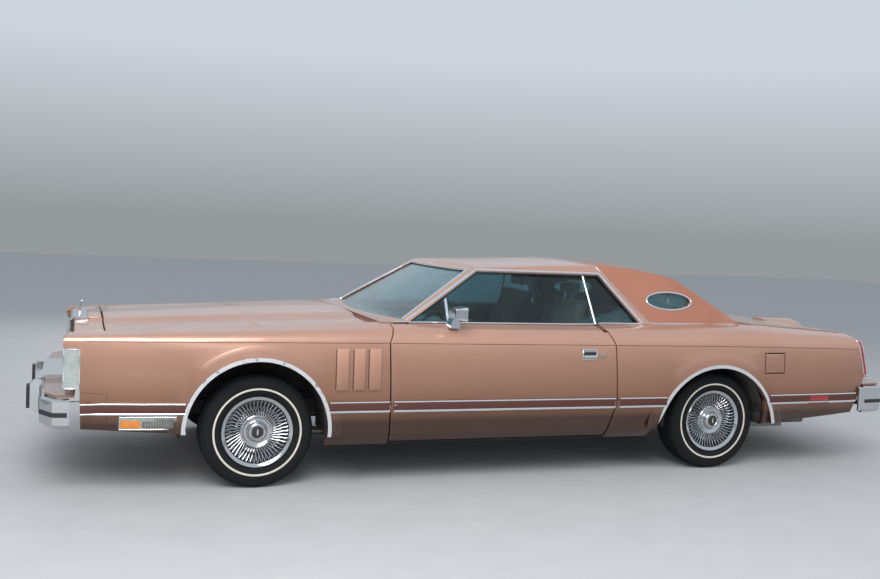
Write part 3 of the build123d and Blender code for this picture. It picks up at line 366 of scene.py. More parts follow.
def seatVelour():
    material, tree, shader, where = newMaterial("seatCloth")
    pile = noise(tree, where, 900, 4, 0.7)
    cloud = noise(tree, where, 7, 4)
    colour = ramp(tree, pile, (0.3, (0.23, 0.10, 0.075)), (0.7, (0.33, 0.155, 0.115)))
    colour = tint(tree, "MULTIPLY", 0.4, colour, ramp(tree, cloud, (0.3, grey(0.72)), (0.7, grey(1.0))))
    tree.links.new(colour, shader.inputs["Base Color"])
    feed(tree, shader, "Roughness", pile, (0.3, grey(0.78)), (0.7, grey(0.92)))
    setValues(shader, {"Sheen Weight": 0.5, "Sheen Roughness": 0.4})
    relief(tree, shader, pile, 0.4, 0.0008)
    return material


def walnutVeneer():
    material, tree, shader, where = newMaterial("walnut", (14, 1.6, 22))
    grain = tree.nodes.new("ShaderNodeTexWave")
    setValues(grain, {"Scale": 1.4, "Distortion": 5, "Detail": 4})
    tree.links.new(where, grain.inputs["Vector"])
    lines = grain.outputs["Fac"]
    feed(tree, shader, "Base Color", lines, (0.2, (0.075, 0.028, 0.012)), (0.8, (0.19, 0.080, 0.034)))
    feed(tree, shader, "Roughness", lines, (0.2, grey(0.24)), (0.8, grey(0.32)))
    shader.inputs["Coat Weight"].default_value = 0.6
    return material


seatCloth = seatVelour()
walnut = walnutVeneer()
print("materials made")

finishes = {
    "paint": copper, "vinyl": vinyl, "glass": glass, "chrome": chrome, "rubber": darkRubber,
    "tyre": tyreRubber, "underbody": underBlack, "iron": ironBlock, "steel": agedSteel,
    "upholstery": seatLeather, "interior": dashGrain, "lamp_clear": lensClear, "lamp_red": lensRed,
}
for part in frame["record"]["subparts"]:
    node = nodes[part["node"]]
    paintWith(node, finishes[part["material_slot"]])
    weld = node.modifiers.new("weld", "WELD")
    weld.merge_threshold = mergeDistance
    if part["material_slot"] in ("paint", "chrome", "rubber", "vinyl"):
        soft = node.modifiers.new("softEdge", "BEVEL")
        soft.width = 0.003
        soft.segments = 2
        soft.limit_method = "ANGLE"
        soft.angle_limit = math.radians(25)
# the vents get a paler copy of the body paint as a painted highlight
paintWith(nodes["fender_vents"], paintedHighlightCopper)
for name in ("front_bumper", "rear_bumper", "grille"):
    paintWith(nodes[name], castChrome)
print("CAD nodes finished")


# Places on the CAD skin, found by looking at it from the side, from above and from the ends
def skinOf(missY, *names):
    # the nodes' faces as one tree, and the depth that stands in where a ray from the side misses them
    points = []
    faces = []
    for name in names:
        node = nodes[name]
        start = len(points)
        points += [node.matrix_world @ corner.co for corner in node.data.vertices]
        faces += [[start + index for index in face.vertices] for face in node.data.polygons]
    return BVHTree.FromPolygons(points, faces), missY


bodySkin = skinOf(0.95, "fender_left", "quarter_panel_left", "door_left", "steel_roof", "vinyl_roof", "hood",
                  "trunk_lid", "header_panel")
trims = skinOf(0.98, "side_trim", "door_trim_left", "tail_lamps", "cornering_lamps")
panes = skinOf(0.8, "door_glass_left", "side_glass")
roofSkin = skinOf(0.7, "steel_roof", "vinyl_roof")
lampSkin = skinOf(0.89, "turn_lamps")
tailSkin = skinOf(0.87, "tail_lamps")
doorSkin = skinOf(0.84, "door_left")
outside = {"x": 3.5, "y": 1.6, "z": 2.0}


def hit(skin, origin, direction, miss):
    return skin[0].ray_cast(Vector(origin), Vector(direction))[0] or Vector(miss)


def onSide(x, z, skin=bodySkin, missY=None):
    return hit(skin, (x, outside["y"], z), (0, -1, 0), (x, skin[1] if missY is None else missY, z))


def onTop(x, y, missZ):
    return hit(bodySkin, (x, y, outside["z"]), (0, 0, -1), (x, y, missZ))


def onEnd(skin, y, z, way, missX):
    # way is 1 as seen from the front and -1 from behind
    return hit(skin, (outside["x"] * way, y, z), (-way, 0, 0), (missX, y, z))


def between(start, end, count):
    return [tuple(a + (b - a) * step / count for a, b in zip(start, end)) for step in range(count + 1)]


def along(corners, spacing=0.08):
    # points at an even spacing along a broken line
    points = []
    for start, end in zip(corners, corners[1:]):
        count = max(1, round(math.dist(start, end) / spacing))
        points += between(start, end, count)[:-1]
    return points + [corners[-1]]


def around(corners, spacing):
    return along(corners + corners[:1], spacing)[:-1]


def rectangle(low, high, spacing=0.05):
    return around([low, (high[0], low[1]), high, (low[0], high[1])], spacing)


def lifted(point, y=0.0, z=0.0, x=0.0):
    return (point[0] + x, point[1] + y, point[2] + z)


def sideLine(corners, spacing=0.08, proud=0.0, rise=0.0, skin=bodySkin):
    # points on the left side under a broken (x, z) line
    return [lifted(onSide(x, z, skin), y=proud, z=rise) for x, z in along(corners, spacing)]


def tube(name, points, radius, material, closed=False):
    # round bright strip or gasket that follows its points
    deselect()
    bpy.ops.curve.primitive_nurbs_path_add()
    piece = bpy.context.object
    piece.name = name
    line = piece.data
    line.splines.clear()
    spline = line.splines.new("POLY")
    spline.points.add(len(points) - 1)
    for point, where in zip(spline.points, points):
        point.co = (*where, 1)
    spline.use_cyclic_u = closed
    line.dimensions = "3D"
    line.bevel_depth = radius
    line.bevel_resolution = 2
    line.use_fill_caps = not closed
    bpy.ops.object.convert(target="MESH")
    piece = bpy.context.object
    faceOutwards(piece)
    smooth(piece, 50)
    paintWith(piece, material)
    return piece


def ribbon(name, points, size, material):
    # flat bar along points that run lengthwise; size is its thickness and height
    deselect()
    bpy.ops.mesh.primitive_plane_add(size=1, location=points[0], rotation=(0, math.pi / 2, 0))
    piece = bpy.context.object
    piece.name = name
    piece.scale = (size[1], size[0], 1)
    settle(piece)
    editWhole(piece)
    for before, after in zip(points, points[1:]):
        move = [b - a for a, b in zip(before, after)]
        bpy.ops.mesh.extrude_region_move(TRANSFORM_OT_translate={"value": move})
    bpy.ops.mesh.select_all(action="SELECT")
    bpy.ops.mesh.normals_make_consistent(inside=False)
    bpy.ops.mesh.bevel(offset=0.0012, segments=2, affect="EDGES", clamp_overlap=True)
    bpy.ops.object.mode_set(mode="OBJECT")
    smooth(piece, 40)
    paintWith(piece, material)
    return piece


def carry(piece, body, slot, *replaced):
    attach(piece, body)
    if replaced:
        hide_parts(*replaced)


def pair(piece, body, slot, stem):
    # the left piece and its twin on the right; a body named by side turns with it
    piece.name = stem + "Left"
    twin = mirrored(piece, stem + "Right")
    for one, hand in ((piece, "left"), (twin, "right")):
        carry(one, body + "_" + hand if body != "body" else body, slot)


def pairTube(stem, points, radius, material, body="body", slot="chrome", closed=False):
    pair(tube(stem, points, radius, material, closed), body, slot, stem)


# Bright frames and gaskets of the side windows; every corner is (x, z), the front foot first
windows = {
    "corners": [(0.778, 0.957), (0.284, 1.268), (-0.59, 1.268), (-0.836, 0.957)],
    "frameOffsets": [(0.017, 0.006), (0.003, 0.01), (-0.003, 0.01), (-0.014, 0.008)],
    "gasketOffsets": [(-0.012, 0.006), (-0.0035, -0.006), (0.0035, -0.006), (0.01, 0.006)],
    "frameRadius": 0.0085, "gasketRadius": 0.0075, "gasketProud": 0.008,
    "divider": [(-0.461, 1.26), (-0.485, 0.959)], "dividerBack": 0.016, "dividerProud": 0.004,
}


def shifted(corners, offsets):
    return [(x + dx, z + dz) for (x, z), (dx, dz) in zip(corners, offsets)]


frameLine = sideLine(shifted(windows["corners"], windows["frameOffsets"]))
pairTube("windowFrame", frameLine, windows["frameRadius"], chrome)
gasketCorners = shifted(windows["corners"], windows["gasketOffsets"])
gasketLine = sideLine(gasketCorners, proud=windows["gasketProud"], skin=panes)
pairTube("windowGasket", gasketLine, windows["gasketRadius"], darkRubber, slot="rubber")
# the divider takes its depth from the door's pane just ahead of it
dividerLine = sideLine(windows["divider"], proud=windows["dividerProud"], skin=panes)
dividerLine = [(x - windows["dividerBack"], y, z) for x, y, z in dividerLine]
pairTube("windowDivider", dividerLine, windows["frameRadius"], chrome)
print("window frames made")

# Belt strips, drip line of the vinyl
strips = {
    "beltRadius": 0.0055, "beltX": (0.872, -0.503), "beltZ": 0.9575, "beltSpacing": 0.12,
    "beltY": 0.822, "swellAhead": (0.6, 0.006), "tuckAhead": (-0.3, 0.012),
    "quarterBelt": [(-0.52, 0.9635), (-0.84, 0.9635)], "quarterBeltY": 0.806,
    "vinylTopX": -0.577, "vinylTopZ": 1.32, "vinylSteps": 12, "vinylPitch": 0.05,
    "vinylSide": [(-0.597, 1.306), (-0.905, 0.968)], "vinylRadius": 0.0042, "vinylProud": 0.001,
    "foot": [(-0.9, 0.972), (-1.64, 0.972)], "footRadius": 0.005, "footProud": 0.002, "footDrop": 0.006,
}
beltLine = []
for x, z in along([(x, strips["beltZ"]) for x in strips["beltX"]], strips["beltSpacing"]):
    swell = strips["swellAhead"][1] * (x < strips["swellAhead"][0])
    tuck = strips["tuckAhead"][1] * (x < strips["tuckAhead"][0])
    beltLine.append((x, strips["beltY"] + swell - tuck, z))
pairTube("doorBelt", beltLine, strips["beltRadius"], chrome, "door")
quarterLine = [(x, strips["quarterBeltY"], z) for x, z in along(strips["quarterBelt"])]
pairTube("quarterBelt", quarterLine, strips["beltRadius"], chrome)
overRoof = []
for step in range(-strips["vinylSteps"], strips["vinylSteps"] + 1):
    top = onTop(strips["vinylTopX"], strips["vinylPitch"] * step, strips["vinylTopZ"])
    overRoof.append(lifted(top, z=strips["vinylProud"]))
downSide = sideLine(strips["vinylSide"], 0.04, strips["vinylProud"])
upOther = [(x, -y, z) for x, y, z in reversed(downSide)]
carry(tube("vinylEdgeStrip", upOther + overRoof + downSide, strips["vinylRadius"], satinChrome), "body", "chrome")
footLine = sideLine(strips["foot"], 0.06, strips["footProud"], -strips["footDrop"])
pairTube("vinylFoot", footLine, strips["footRadius"], chrome)

# Side mouldings: a dark maroon insert between two bright lines, as far out as the CAD strip
mouldings = {
    "door": (0.908, -0.562), "body": [(1.291, 0.932), (2.636, 2.094), (-0.592, -0.94), (-1.757, -2.52)],
    "stripZ": 0.4675, "stripProud": 0.01, "spacing": 0.1,
    "z": 0.48, "height": 0.05, "thickness": 0.004, "sink": 0.0015,
    "lineZ": (0.454, 0.5065), "lineRadius": 0.0052, "lineProud": 0.0005,
}


def mouldingBar(start, end):
    face = []
    for x, z in along([(start, mouldings["stripZ"]), (end, mouldings["stripZ"])], mouldings["spacing"]):
        body = onSide(x, z)
        strip = onSide(x, z, trims, 0.0)
        face.append(Vector((x, body.y + mouldings["stripProud"], z)) if strip.y < body.y else strip)
    middle = [(x, y + mouldings["thickness"] / 2 - mouldings["sink"], mouldings["z"]) for x, y, _ in face]
    pieces = [ribbon("insert", middle, (mouldings["thickness"], mouldings["height"]), mouldingRubber)]
    for z in mouldings["lineZ"]:
        line = [(x, y + mouldings["lineProud"], z) for x, y, _ in face]
        pieces.append(tube("line", line, mouldings["lineRadius"], chrome))
    return join(pieces, "insert")


pair(mouldingBar(*mouldings["door"]), "door", "rubber", "doorInsert")
pair(join([mouldingBar(*span) for span in mouldings["body"]], "bodyInsert"), "body", "rubber", "bodyInsert")

# Painted shade line along the crease of the upper side, and the seam under the front corner
creases = {
    "fender": [(2.615, 0.842), (2.3, 0.845), (1.679, 0.849), (0.946, 0.848)],
    "door": [(0.924, 0.848), (-0.548, 0.842)],
    "quarter": [(-0.566, 0.842), (-1.379, 0.838), (-1.75, 0.832), (-2.3, 0.822), (-2.54, 0.812)],
    "radius": 0.0017, "sink": 0.0004,
    "seam": [(2.5, 0.376), (2.5, 0.56), (2.632, 0.566)], "seamRadius": 0.0012, "seamSink": 0.0002,
}
for name, body in (("fender", "body"), ("door", "door"), ("quarter", "body")):
    line = sideLine(creases[name], proud=-creases["sink"])
    pairTube(name + "Crease", line, creases["radius"], paintedShadeCopper, body, "paint")
seamLine = sideLine(creases["seam"], 0.03, -creases["seamSink"])
pairTube("lowerSeam", seamLine, creases["seamRadius"], darkRubber, slot="rubber")
print("mouldings made")

# Bright frames round the windshield, open at the cowl, and round the rear window; corners are (y, z)
endFrames = {
    "front": [(-0.752, 0.972), (-0.566, 1.277), (0.566, 1.277), (0.752, 0.972)],
    "rear": [(-0.608, 0.98), (-0.487, 1.232), (0.487, 1.232), (0.608, 0.98)],
    "frontX": 0.5, "rearX": -1.4, "radius": 0.006, "spacing": 0.06,
}
frontLine = [onEnd(roofSkin, y, z, 1, endFrames["frontX"]) for y, z in along(endFrames["front"], endFrames["spacing"])]
rearLine = [onEnd(roofSkin, y, z, -1, endFrames["rearX"]) for y, z in around(endFrames["rear"], endFrames["spacing"])]
carry(tube("windshieldFrame", frontLine, endFrames["radius"], chrome), "body", "chrome")
carry(tube("rearWindowFrame", rearLine, endFrames["radius"], chrome, closed=True), "body", "chrome")

# Opera window ring with its small upright
opera = {
    "x": -1.096, "z": 1.111, "halfLength": 0.175, "halfHeight": 0.057, "radius": 0.0065, "points": 40,
    "uprightHalf": 0.022, "uprightRadius": 0.005, "uprightProud": 0.004,
}
ring = []
for index in range(opera["points"]):
    angle = 2 * math.pi * index / opera["points"]
    ring.append(onSide(opera["x"] + opera["halfLength"] * math.cos(angle),
                       opera["z"] + opera["halfHeight"] * math.sin(angle)))
pieces = [tube("operaRing", ring, opera["radius"], chrome, closed=True)]
uprightY = onSide(opera["x"], opera["z"], panes).y + opera["uprightProud"]
upright = [(opera["x"], uprightY, opera["z"] + rise) for rise in (-opera["uprightHalf"], opera["uprightHalf"])]
pieces.append(tube("upright", upright, opera["uprightRadius"], chrome))
pair(join(pieces, "operaRing"), "body", "chrome", "operaRing")
print("roof trim made")

# Front end: grille backing, headlamp cover edges, turn lamps
front = {
    "backLow": (2.6125, -0.258, 0.58), "backHigh": (2.615, 0.258, 0.87), "backBevel": 0.0006,
    "coverX": 2.655, "coverY": (0.31, 0.74), "coverZ": (0.597, 0.783), "coverRadius": 0.0035,
    "lampX": (2.643, 2.723), "lampZ": (0.588, 0.798), "frameRadius": 0.0045,
    "ribs": 9, "ribX": (2.655, 2.683, 2.717), "ribRadius": 0.0016,
}
backing = block("grilleBack", front["backLow"], front["backHigh"], front["backBevel"])
paintWith(backing, darkRubber)
carry(backing, "body", "rubber")

covers = []
for side in (1, -1):
    near, far = (side * y for y in front["coverY"])
    corners = rectangle((near, front["coverZ"][0]), (far, front["coverZ"][1]), 0.2)
    edge = [(front["coverX"], y, z) for y, z in corners]
    covers.append(tube("coverEdge", edge, front["coverRadius"], chrome, closed=True))
carry(join(covers, "coverEdges"), "headlamp_doors", "chrome")

x0, x1 = front["lampX"]
z0, z1 = front["lampZ"]
lampEdge = [onSide(x, z, lampSkin) for x, z in rectangle((x0, z0), (x1, z1), 0.04)]
pieces = [tube("turnFrame", lampEdge, front["frameRadius"], chrome, closed=True)]
for index in range(front["ribs"]):
    z = z0 + (z1 - z0) * (index + 0.5) / front["ribs"]
    rib = [onSide(x, z, lampSkin) for x in front["ribX"]]
    pieces.append(tube("rib", rib, front["ribRadius"], lensClear))
pair(join(pieces, "turnFrame"), "body", "chrome", "turnFrame")

# Cornering lamps: frame, amber lens, smoked lens with ridges
cornering = {
    "x": (2.14, 2.434), "z": (0.367, 0.435), "frameRadius": 0.0048,
    "lensZ": 0.401, "lensHeight": 0.054,
    "amberX": (2.325, 2.43), "amberThick": 0.005, "smokedX": (2.152, 2.318), "smokedThick": 0.004,
    "ridges": 11, "ridgeX": 2.16, "ridgePitch": 0.014, "ridgeZ": (0.376, 0.426),
    "ridgeRadius": 0.0016, "ridgeProud": 0.003,
}


def corneringLens(name, span, thickness, material):
    line = sideLine([(x, cornering["lensZ"]) for x in span], 0.03, skin=trims)
    return ribbon(name, line, (thickness, cornering["lensHeight"]), material)


x0, x1 = cornering["x"]
z0, z1 = cornering["z"]
cornerEdge = [onSide(x, z, trims) for x, z in rectangle((x0, z0), (x1, z1))]
pairTube("cornerFrame", cornerEdge, cornering["frameRadius"], chrome, closed=True)
amber = corneringLens("amberLens", cornering["amberX"], cornering["amberThick"], lensAmber)
pair(amber, "body", "lamp_clear", "amberLens")
pieces = [corneringLens("smokedLens", cornering["smokedX"], cornering["smokedThick"], lensSmoke)]
for index in range(cornering["ridges"]):
    x = cornering["ridgeX"] + cornering["ridgePitch"] * index
    ridge = [lifted(onSide(x, z, trims), y=cornering["ridgeProud"]) for z in cornering["ridgeZ"]]
    pieces.append(tube("ridge", ridge, cornering["ridgeRadius"], lensClear))
pair(join(pieces, "cornerRidges"), "body", "lamp_clear", "cornerRidges")

# Tail lamps: frame round the side, frame round the face, ribs
tail = {
    "side": [(-2.602, 0.626), (-2.629, 0.626), (-2.574, 0.872), (-2.545, 0.872)],
    "faceLow": (0.775, 0.63), "faceHigh": (0.858, 0.868), "faceX": -2.62, "frameRadius": 0.004,
    "ribs": 7, "ribY": (0.782, 0.815, 0.85), "ribZ": 0.645, "ribPitch": 0.03, "ribRadius": 0.0018, "ribProud": 0.001,
}
sideEdge = [onSide(x, z, tailSkin) for x, z in around(tail["side"], 0.04)]
pieces = [tube("tailFrame", sideEdge, tail["frameRadius"], chrome, closed=True)]
faceEdge = [onEnd(tailSkin, y, z, -1, tail["faceX"]) for y, z in rectangle(tail["faceLow"], tail["faceHigh"])]
pieces.append(tube("tailFace", faceEdge, tail["frameRadius"], chrome, closed=True))
for index in range(tail["ribs"]):
    z = tail["ribZ"] + tail["ribPitch"] * index
    rib = [lifted(onEnd(tailSkin, y, z, -1, tail["faceX"]), x=-tail["ribProud"]) for y in tail["ribY"]]
    pieces.append(tube("tailRib", rib, tail["ribRadius"], lensRed))
pair(join(pieces, "tailFrame"), "body", "chrome", "tailFrame")

# Side marker lens in the rear moulding
marker = {"x": (-2.105, -2.265), "z": 0.48, "height": 0.034, "thickness": 0.004, "proud": 0.0132}
markerLine = sideLine([(x, mouldings["stripZ"]) for x in marker["x"]], 0.04, marker["proud"],
                      marker["z"] - mouldings["stripZ"])
markerLens = ribbon("markerLens", markerLine, (marker["thickness"], marker["height"]), lensRed)
pair(markerLens, "body", "lamp_red", "markerLens")
print("lamps dressed")

# Fender vents: a line of painted shade down both edges of each raised pad
vents = {
    "spans": [(1.257, 1.186), (1.155, 1.088), (1.064, 0.992)], "z": (0.582, 0.813),
    "lineRadius": 0.0022, "inset": 0.0015,
}
lines = []
for xFront, xRear in vents["spans"]:
    for x in (xFront + vents["inset"], xRear - vents["inset"]):
        line = sideLine([(x, z) for z in vents["z"]], 0.06)
        lines.append(tube("ventShadeLine", line, vents["lineRadius"], paintedShadeCopper))
pair(join(lines, "ventShadeLines"), "body", "paint", "ventShadeLines")

# Door hardware: pull, rim of its plate, a dark bar of painted shade in the pull's recess, and mirror face
door = {
    "plateY": 1.0, "x": (-0.407, -0.323), "spacing": 0.03, "pullZ": 0.776, "pullRadius": 0.0065, "pullProud": 0.006,
    "plateLow": (-0.413, 0.754), "plateHigh": (-0.317, 0.817), "plateRadius": 0.0035, "plateProud": 0.001,
    "slotZ": 0.79, "slotSize": (0.002, 0.024), "slotProud": 0.0005,
    "mirrorX": (0.4865, 0.489), "mirrorY": (0.936, 1.054), "mirrorZ": (0.996, 1.06), "mirrorBevel": 0.001,
}
# the dark bar at the slot height is painted shade in the recess behind the pull
pullLine, pullShadeLine = (sideLine([(x, door[key + "Z"]) for x in door["x"]], door["spacing"], door[key + "Proud"],
                               skin=trims) for key in ("pull", "slot"))
plateEdge = [lifted(onSide(x, z, trims, door["plateY"]), y=door["plateProud"])
             for x, z in rectangle(door["plateLow"], door["plateHigh"], door["spacing"])]
pieces = [tube("pull", pullLine, door["pullRadius"], chrome),
          tube("plateEdge", plateEdge, door["plateRadius"], chrome, closed=True),
          ribbon("pullShadeBar", pullShadeLine, door["slotSize"], darkRubber)]
mirror = block("mirrorFace", *zip(door["mirrorX"], door["mirrorY"], door["mirrorZ"]), door["mirrorBevel"])
paintWith(mirror, mirrorSilver)
pair(join(pieces + [mirror], "doorHardware"), "door", "chrome", "doorHardware")
print("door hardware made")

# Filler behind the grille shell, just under the header panel's top
cowling = {
    "x": (2.522, 2.6), "halfWidth": 0.246, "depth": 0.045, "under": (2.5, 0.12, 0.905), "gap": 0.0015, "bevel": 0.006,
}
topZ = onTop(*cowling["under"])[2] - cowling["gap"]
filler = block("grilleCowl", (cowling["x"][0], -cowling["halfWidth"], topZ - cowling["depth"]),
               (cowling["x"][1], cowling["halfWidth"], topZ), cowling["bevel"], 3)
paintWith(filler, copper)
carry(filler, "body", "paint")

# Blank plates with a bright rim and four bolts
plates = {
    "front": 2.872, "rear": -2.89, "halfWidth": 0.154, "halfHeight": 0.07, "midZ": 0.45,
    "thickness": 0.0016, "gap": 0.0001, "bevel": 0.0006, "rimInset": 0.004, "rimRadius": 0.0022,
    "bolt": [(0.0, 0.006), (0.002, 0.006), (0.0035, 0.0042), (0.0038, 0.0)], "boltY": 0.089, "boltZ": 0.0605,
}


def blankPlate(name, x, way):
    # way is 1 in front and -1 behind
    y, z, middle = plates["halfWidth"], plates["halfHeight"], plates["midZ"]
    faceX = x + way * plates["thickness"]
    near, far = sorted((x + way * plates["gap"], faceX))
    plate = block("plate", (near, -y, middle - z), (far, y, middle + z), plates["bevel"])
    paintWith(plate, plateEnamel)
    y -= plates["rimInset"]
    z -= plates["rimInset"]
    edge = [(faceX, *point) for point in rectangle((-y, middle - z), (y, middle + z), 0.1)]
    pieces = [plate, tube("rim", edge, plates["rimRadius"], chrome, closed=True)]
    for y in (-plates["boltY"], plates["boltY"]):
        for z in (middle - plates["boltZ"], middle + plates["boltZ"]):
            head = lathe("bolt", plates["bolt"], (0, 0, 0), 16)
            only(head)
            head.rotation_euler = (0, 0, math.radians(-90 * way))
            head.location = (faceX, y, z)
            settle(head)
            paintWith(head, chrome)
            pieces.append(head)
    whole = join(pieces, name)
    smooth(whole, 40)
    carry(whole, "body", "chrome")


blankPlate("frontPlate", plates["front"], 1)
blankPlate("rearPlate", plates["rear"], -1)
print("plates and grille filler made")

# Seats: each pad starts a little small, is blown up between its pinned channels and then sewn in there
seats = {
    "voxel": 0.014, "cap": 0.024, "pressure": 4.0, "frames": 20, "pinWidth": 0.008, "groove": 0.005, "bevel": 0.012,
    "channels": 5, "rearChannels": 10, "fill": 0.6,
    "cushion": [(-0.318, 0.3), (0.252, 0.3), (0.276, 0.53), (0.25, 0.574), (-0.22, 0.54), (-0.29, 0.5)],
    "back": [(-0.362, 0.5), (-0.3, 0.5), (-0.268, 0.58), (-0.44, 1.01), (-0.462, 1.098), (-0.506, 1.098),
             (-0.496, 1.000), (-0.392, 0.58)],
    "headrest": [(-0.474, 1.128), (-0.504, 1.128), (-0.528, 1.194), (-0.52, 1.204), (-0.478, 1.204), (-0.47, 1.194)],
    "rearCushion": [(-0.8, 0.484), (-0.572, 0.464), (-0.562, 0.55), (-0.596, 0.578), (-0.905, 0.558),
                    (-0.94, 0.5)],
    "rearBack": [(-1.07, 0.5), (-0.965, 0.5), (-0.945, 0.592), (-1.055, 0.906), (-1.1, 0.906), (-1.085, 0.6)],
    "frontY": (0.174, 0.676), "headY": (0.315, 0.535), "rearY": (-0.604, 0.604),
}


def profileBlock(name, profile, y0, y1):
    # a closed (x, z) outline filled and pulled across the car
    piece = drawOutline(name, [(x, y0, z) for x, z in profile])
    bpy.ops.mesh.edge_face_add()
    bpy.ops.mesh.extrude_region_move(TRANSFORM_OT_translate={"value": (0, y1 - y0, 0)})
    faceOutwards(piece, merge=False)
    settle(piece)
    return piece


def makePad(name, profile, across, channels):
    y0, y1 = across
    piece = profileBlock(name, profile, y0, y1)
    editWhole(piece)
    bpy.ops.mesh.bevel(offset=seats["bevel"], segments=2, affect="EDGES", clamp_overlap=True)
    bpy.ops.object.mode_set(mode="OBJECT")
    applyModifier(piece, "REMESH", mode="VOXEL", voxel_size=seats["voxel"])
    start = [corner.co.copy() for corner in piece.data.vertices]
    lines = [y0 + (y1 - y0) * step / channels for step in range(1, channels)]
    pinned = [index for index, co in enumerate(start) if any(abs(co.y - line) < seats["pinWidth"] for line in lines)]
    pins = piece.vertex_groups.new(name="channels")
    pins.add(pinned, 1.0, "REPLACE")
    only(piece)
    cloth = piece.modifiers.new("padding", "CLOTH")
    cloth.settings.use_pressure = True
    cloth.settings.uniform_pressure_force = seats["pressure"]
    cloth.settings.vertex_group_mass = pins.name
    cloth.settings.effector_weights.gravity = 0
    cloth.point_cache.frame_start = 1
    cloth.point_cache.frame_end = seats["frames"]
    for frameNumber in range(1, seats["frames"] + 1):
        bpy.context.scene.frame_set(frameNumber)
    bpy.ops.object.modifier_apply(modifier=cloth.name)
    bpy.context.scene.frame_set(1)
    for corner, before in zip(piece.data.vertices, start):
        move = corner.co - before
        if move.length > seats["cap"]:
            corner.co = before + move.normalized() * seats["cap"]
    piece.vertex_groups.clear()
    # the sewn channels are drawn in along the surface's own direction
    normals = [(index, piece.data.vertices[index].normal.copy()) for index in pinned]
    for index, normal in normals:
        piece.data.vertices[index].co -= normal * seats["groove"]
    applyModifier(piece, "SUBSURF", levels=1, render_levels=1)
    smooth(piece, 180)
    paintWith(piece, seatCloth)
    return piece


pads = [makePad("driverCushion", seats["cushion"], seats["frontY"], seats["channels"]),
        makePad("driverBack", seats["back"], seats["frontY"], seats["channels"]),
        makePad("driverHeadrest", seats["headrest"], seats["headY"], 1)]
pads += [mirrored(pad, pad.name.replace("driver", "passenger")) for pad in pads]
rearPads = [makePad("rearCushion", seats["rearCushion"], seats["rearY"], seats["rearChannels"]),
            makePad("rearBackrest", seats["rearBack"], seats["rearY"], seats["rearChannels"])]
for pad in pads:
    carry(pad, "body", "upholstery", "front_seat")
for pad in rearPads:
    carry(pad, "body", "upholstery", "rear_seat")

# Bases under the rear seat and posts under the headrests
bases = {
    "apronX": (-0.7, -0.572), "apronY": (0.195, 0.6), "apronZ": (0.284, 0.452), "apronBevel": 0.008,
    "post": [(-0.488, 1.08), (-0.489, 1.105), (-0.49, 1.135)], "postY": (0.375, 0.475), "postRadius": 0.005,
}
for name, side in (("rearApronLeft", 1), ("rearApronRight", -1)):
    across = sorted(side * y for y in bases["apronY"])
    apron = block(name, *zip(bases["apronX"], across, bases["apronZ"]), bases["apronBevel"])
    paintWith(apron, dashGrain)
    carry(apron, "body", "interior")
posts = []
for side in (1, -1):
    for y in bases["postY"]:
        posts.append(tube("post", [(x, side * y, z) for x, z in bases["post"]], bases["postRadius"], chrome))
carry(join(posts, "headrestPosts"), "body", "chrome")
print("seats padded")

# Steering wheel, built flat round the origin and then leaned to its column
steering = {
    "centre": (0.33, 0.4, 0.9), "tilt": 25.0, "radius": 0.19, "grip": 0.0105, "gripSteps": 12,
    "padHalf": (0.085, 0.014, 0.036), "padBevel": 0.011,
    "armX": (0.075, 0.186), "armHalf": (0.006, 0.016), "armBevel": 0.004,
    "hub": [(-0.012, 0.0), (-0.012, 0.036), (0.01, 0.04), (0.026, 0.034), (0.026, 0.0)],
}
grip = []
for step in range(steering["gripSteps"] + 1):
    angle = math.radians(step * 360 / steering["gripSteps"])
    grip.append((steering["grip"] * math.sin(angle), steering["radius"] + steering["grip"] * math.cos(angle)))
rimPiece = lathe("rim", grip, (0, 0, 0))
hornPad = block("hornPad", [-half for half in steering["padHalf"]], steering["padHalf"], steering["padBevel"], 3)
boss = lathe("hub", steering["hub"], (0, 0, 0), 40)
y, z = steering["armHalf"]
arms = [block("arm", (x0, -y, -z), (x1, y, z), steering["armBevel"])
        for x0, x1 in (steering["armX"], [-x for x in reversed(steering["armX"])])]
pieces = [rimPiece, hornPad, boss] + arms
for piece, material in zip(pieces, (dashGrain, dashGrain, darkRubber, satinChrome, satinChrome)):
    paintWith(piece, material)
steeringPiece = join(pieces, "steeringRim")
only(steeringPiece)
steeringPiece.rotation_euler = (math.radians(-steering["tilt"]), 0, math.radians(-90))
steeringPiece.location = steering["centre"]
settle(steeringPiece)
smooth(steeringPiece, 40)
carry(steeringPiece, "steering_wheel", "interior", "steering_wheel")

# Wood strip across the dashboard between two bright edges
dash = {
    "woodX": (0.5575, 0.5675), "woodY": 0.76, "woodZ": (0.79, 0.862), "woodBevel": 0.003,
    "edgeX": 0.5585, "edgeRadius": 0.0025,
}
wood = block("woodStrip", *zip(dash["woodX"], (-dash["woodY"], dash["woodY"]), dash["woodZ"]), dash["woodBevel"])
paintWith(wood, walnut)
pieces = [wood]
for z in dash["woodZ"]:
    edge = [(dash["edgeX"], y, z) for y in (-dash["woodY"], 0, dash["woodY"])]
    pieces.append(tube("woodEdge", edge, dash["edgeRadius"], chrome))
carry(join(pieces, "woodStrip"), "body", "interior")
print("cabin furnished")

# Door cards with an arm rest and a pull; their back follows the door's inner face
card = {
    "x": (-0.44, 0.74), "z": (0.42, 0.9), "parts": (14, 6), "gap": 0.003, "thickness": 0.006,
    "farthestY": 0.86, "restAt": (0.1, 0.62), "restX": (-0.3, 0.34), "restY": (-0.066, -0.008),
    "restZ": (0.59, 0.65), "restBevel": 0.016,
    "pull": [(-0.05, -0.012), (-0.03, -0.032), (0.13, -0.032), (0.15, -0.012)], "pullZ": 0.76, "pullRadius": 0.006,
}


def innerFace(x, z):
    return hit(doorSkin, (x, 0.5, z), (0, 1, 0), (x, doorSkin[1], z)).y


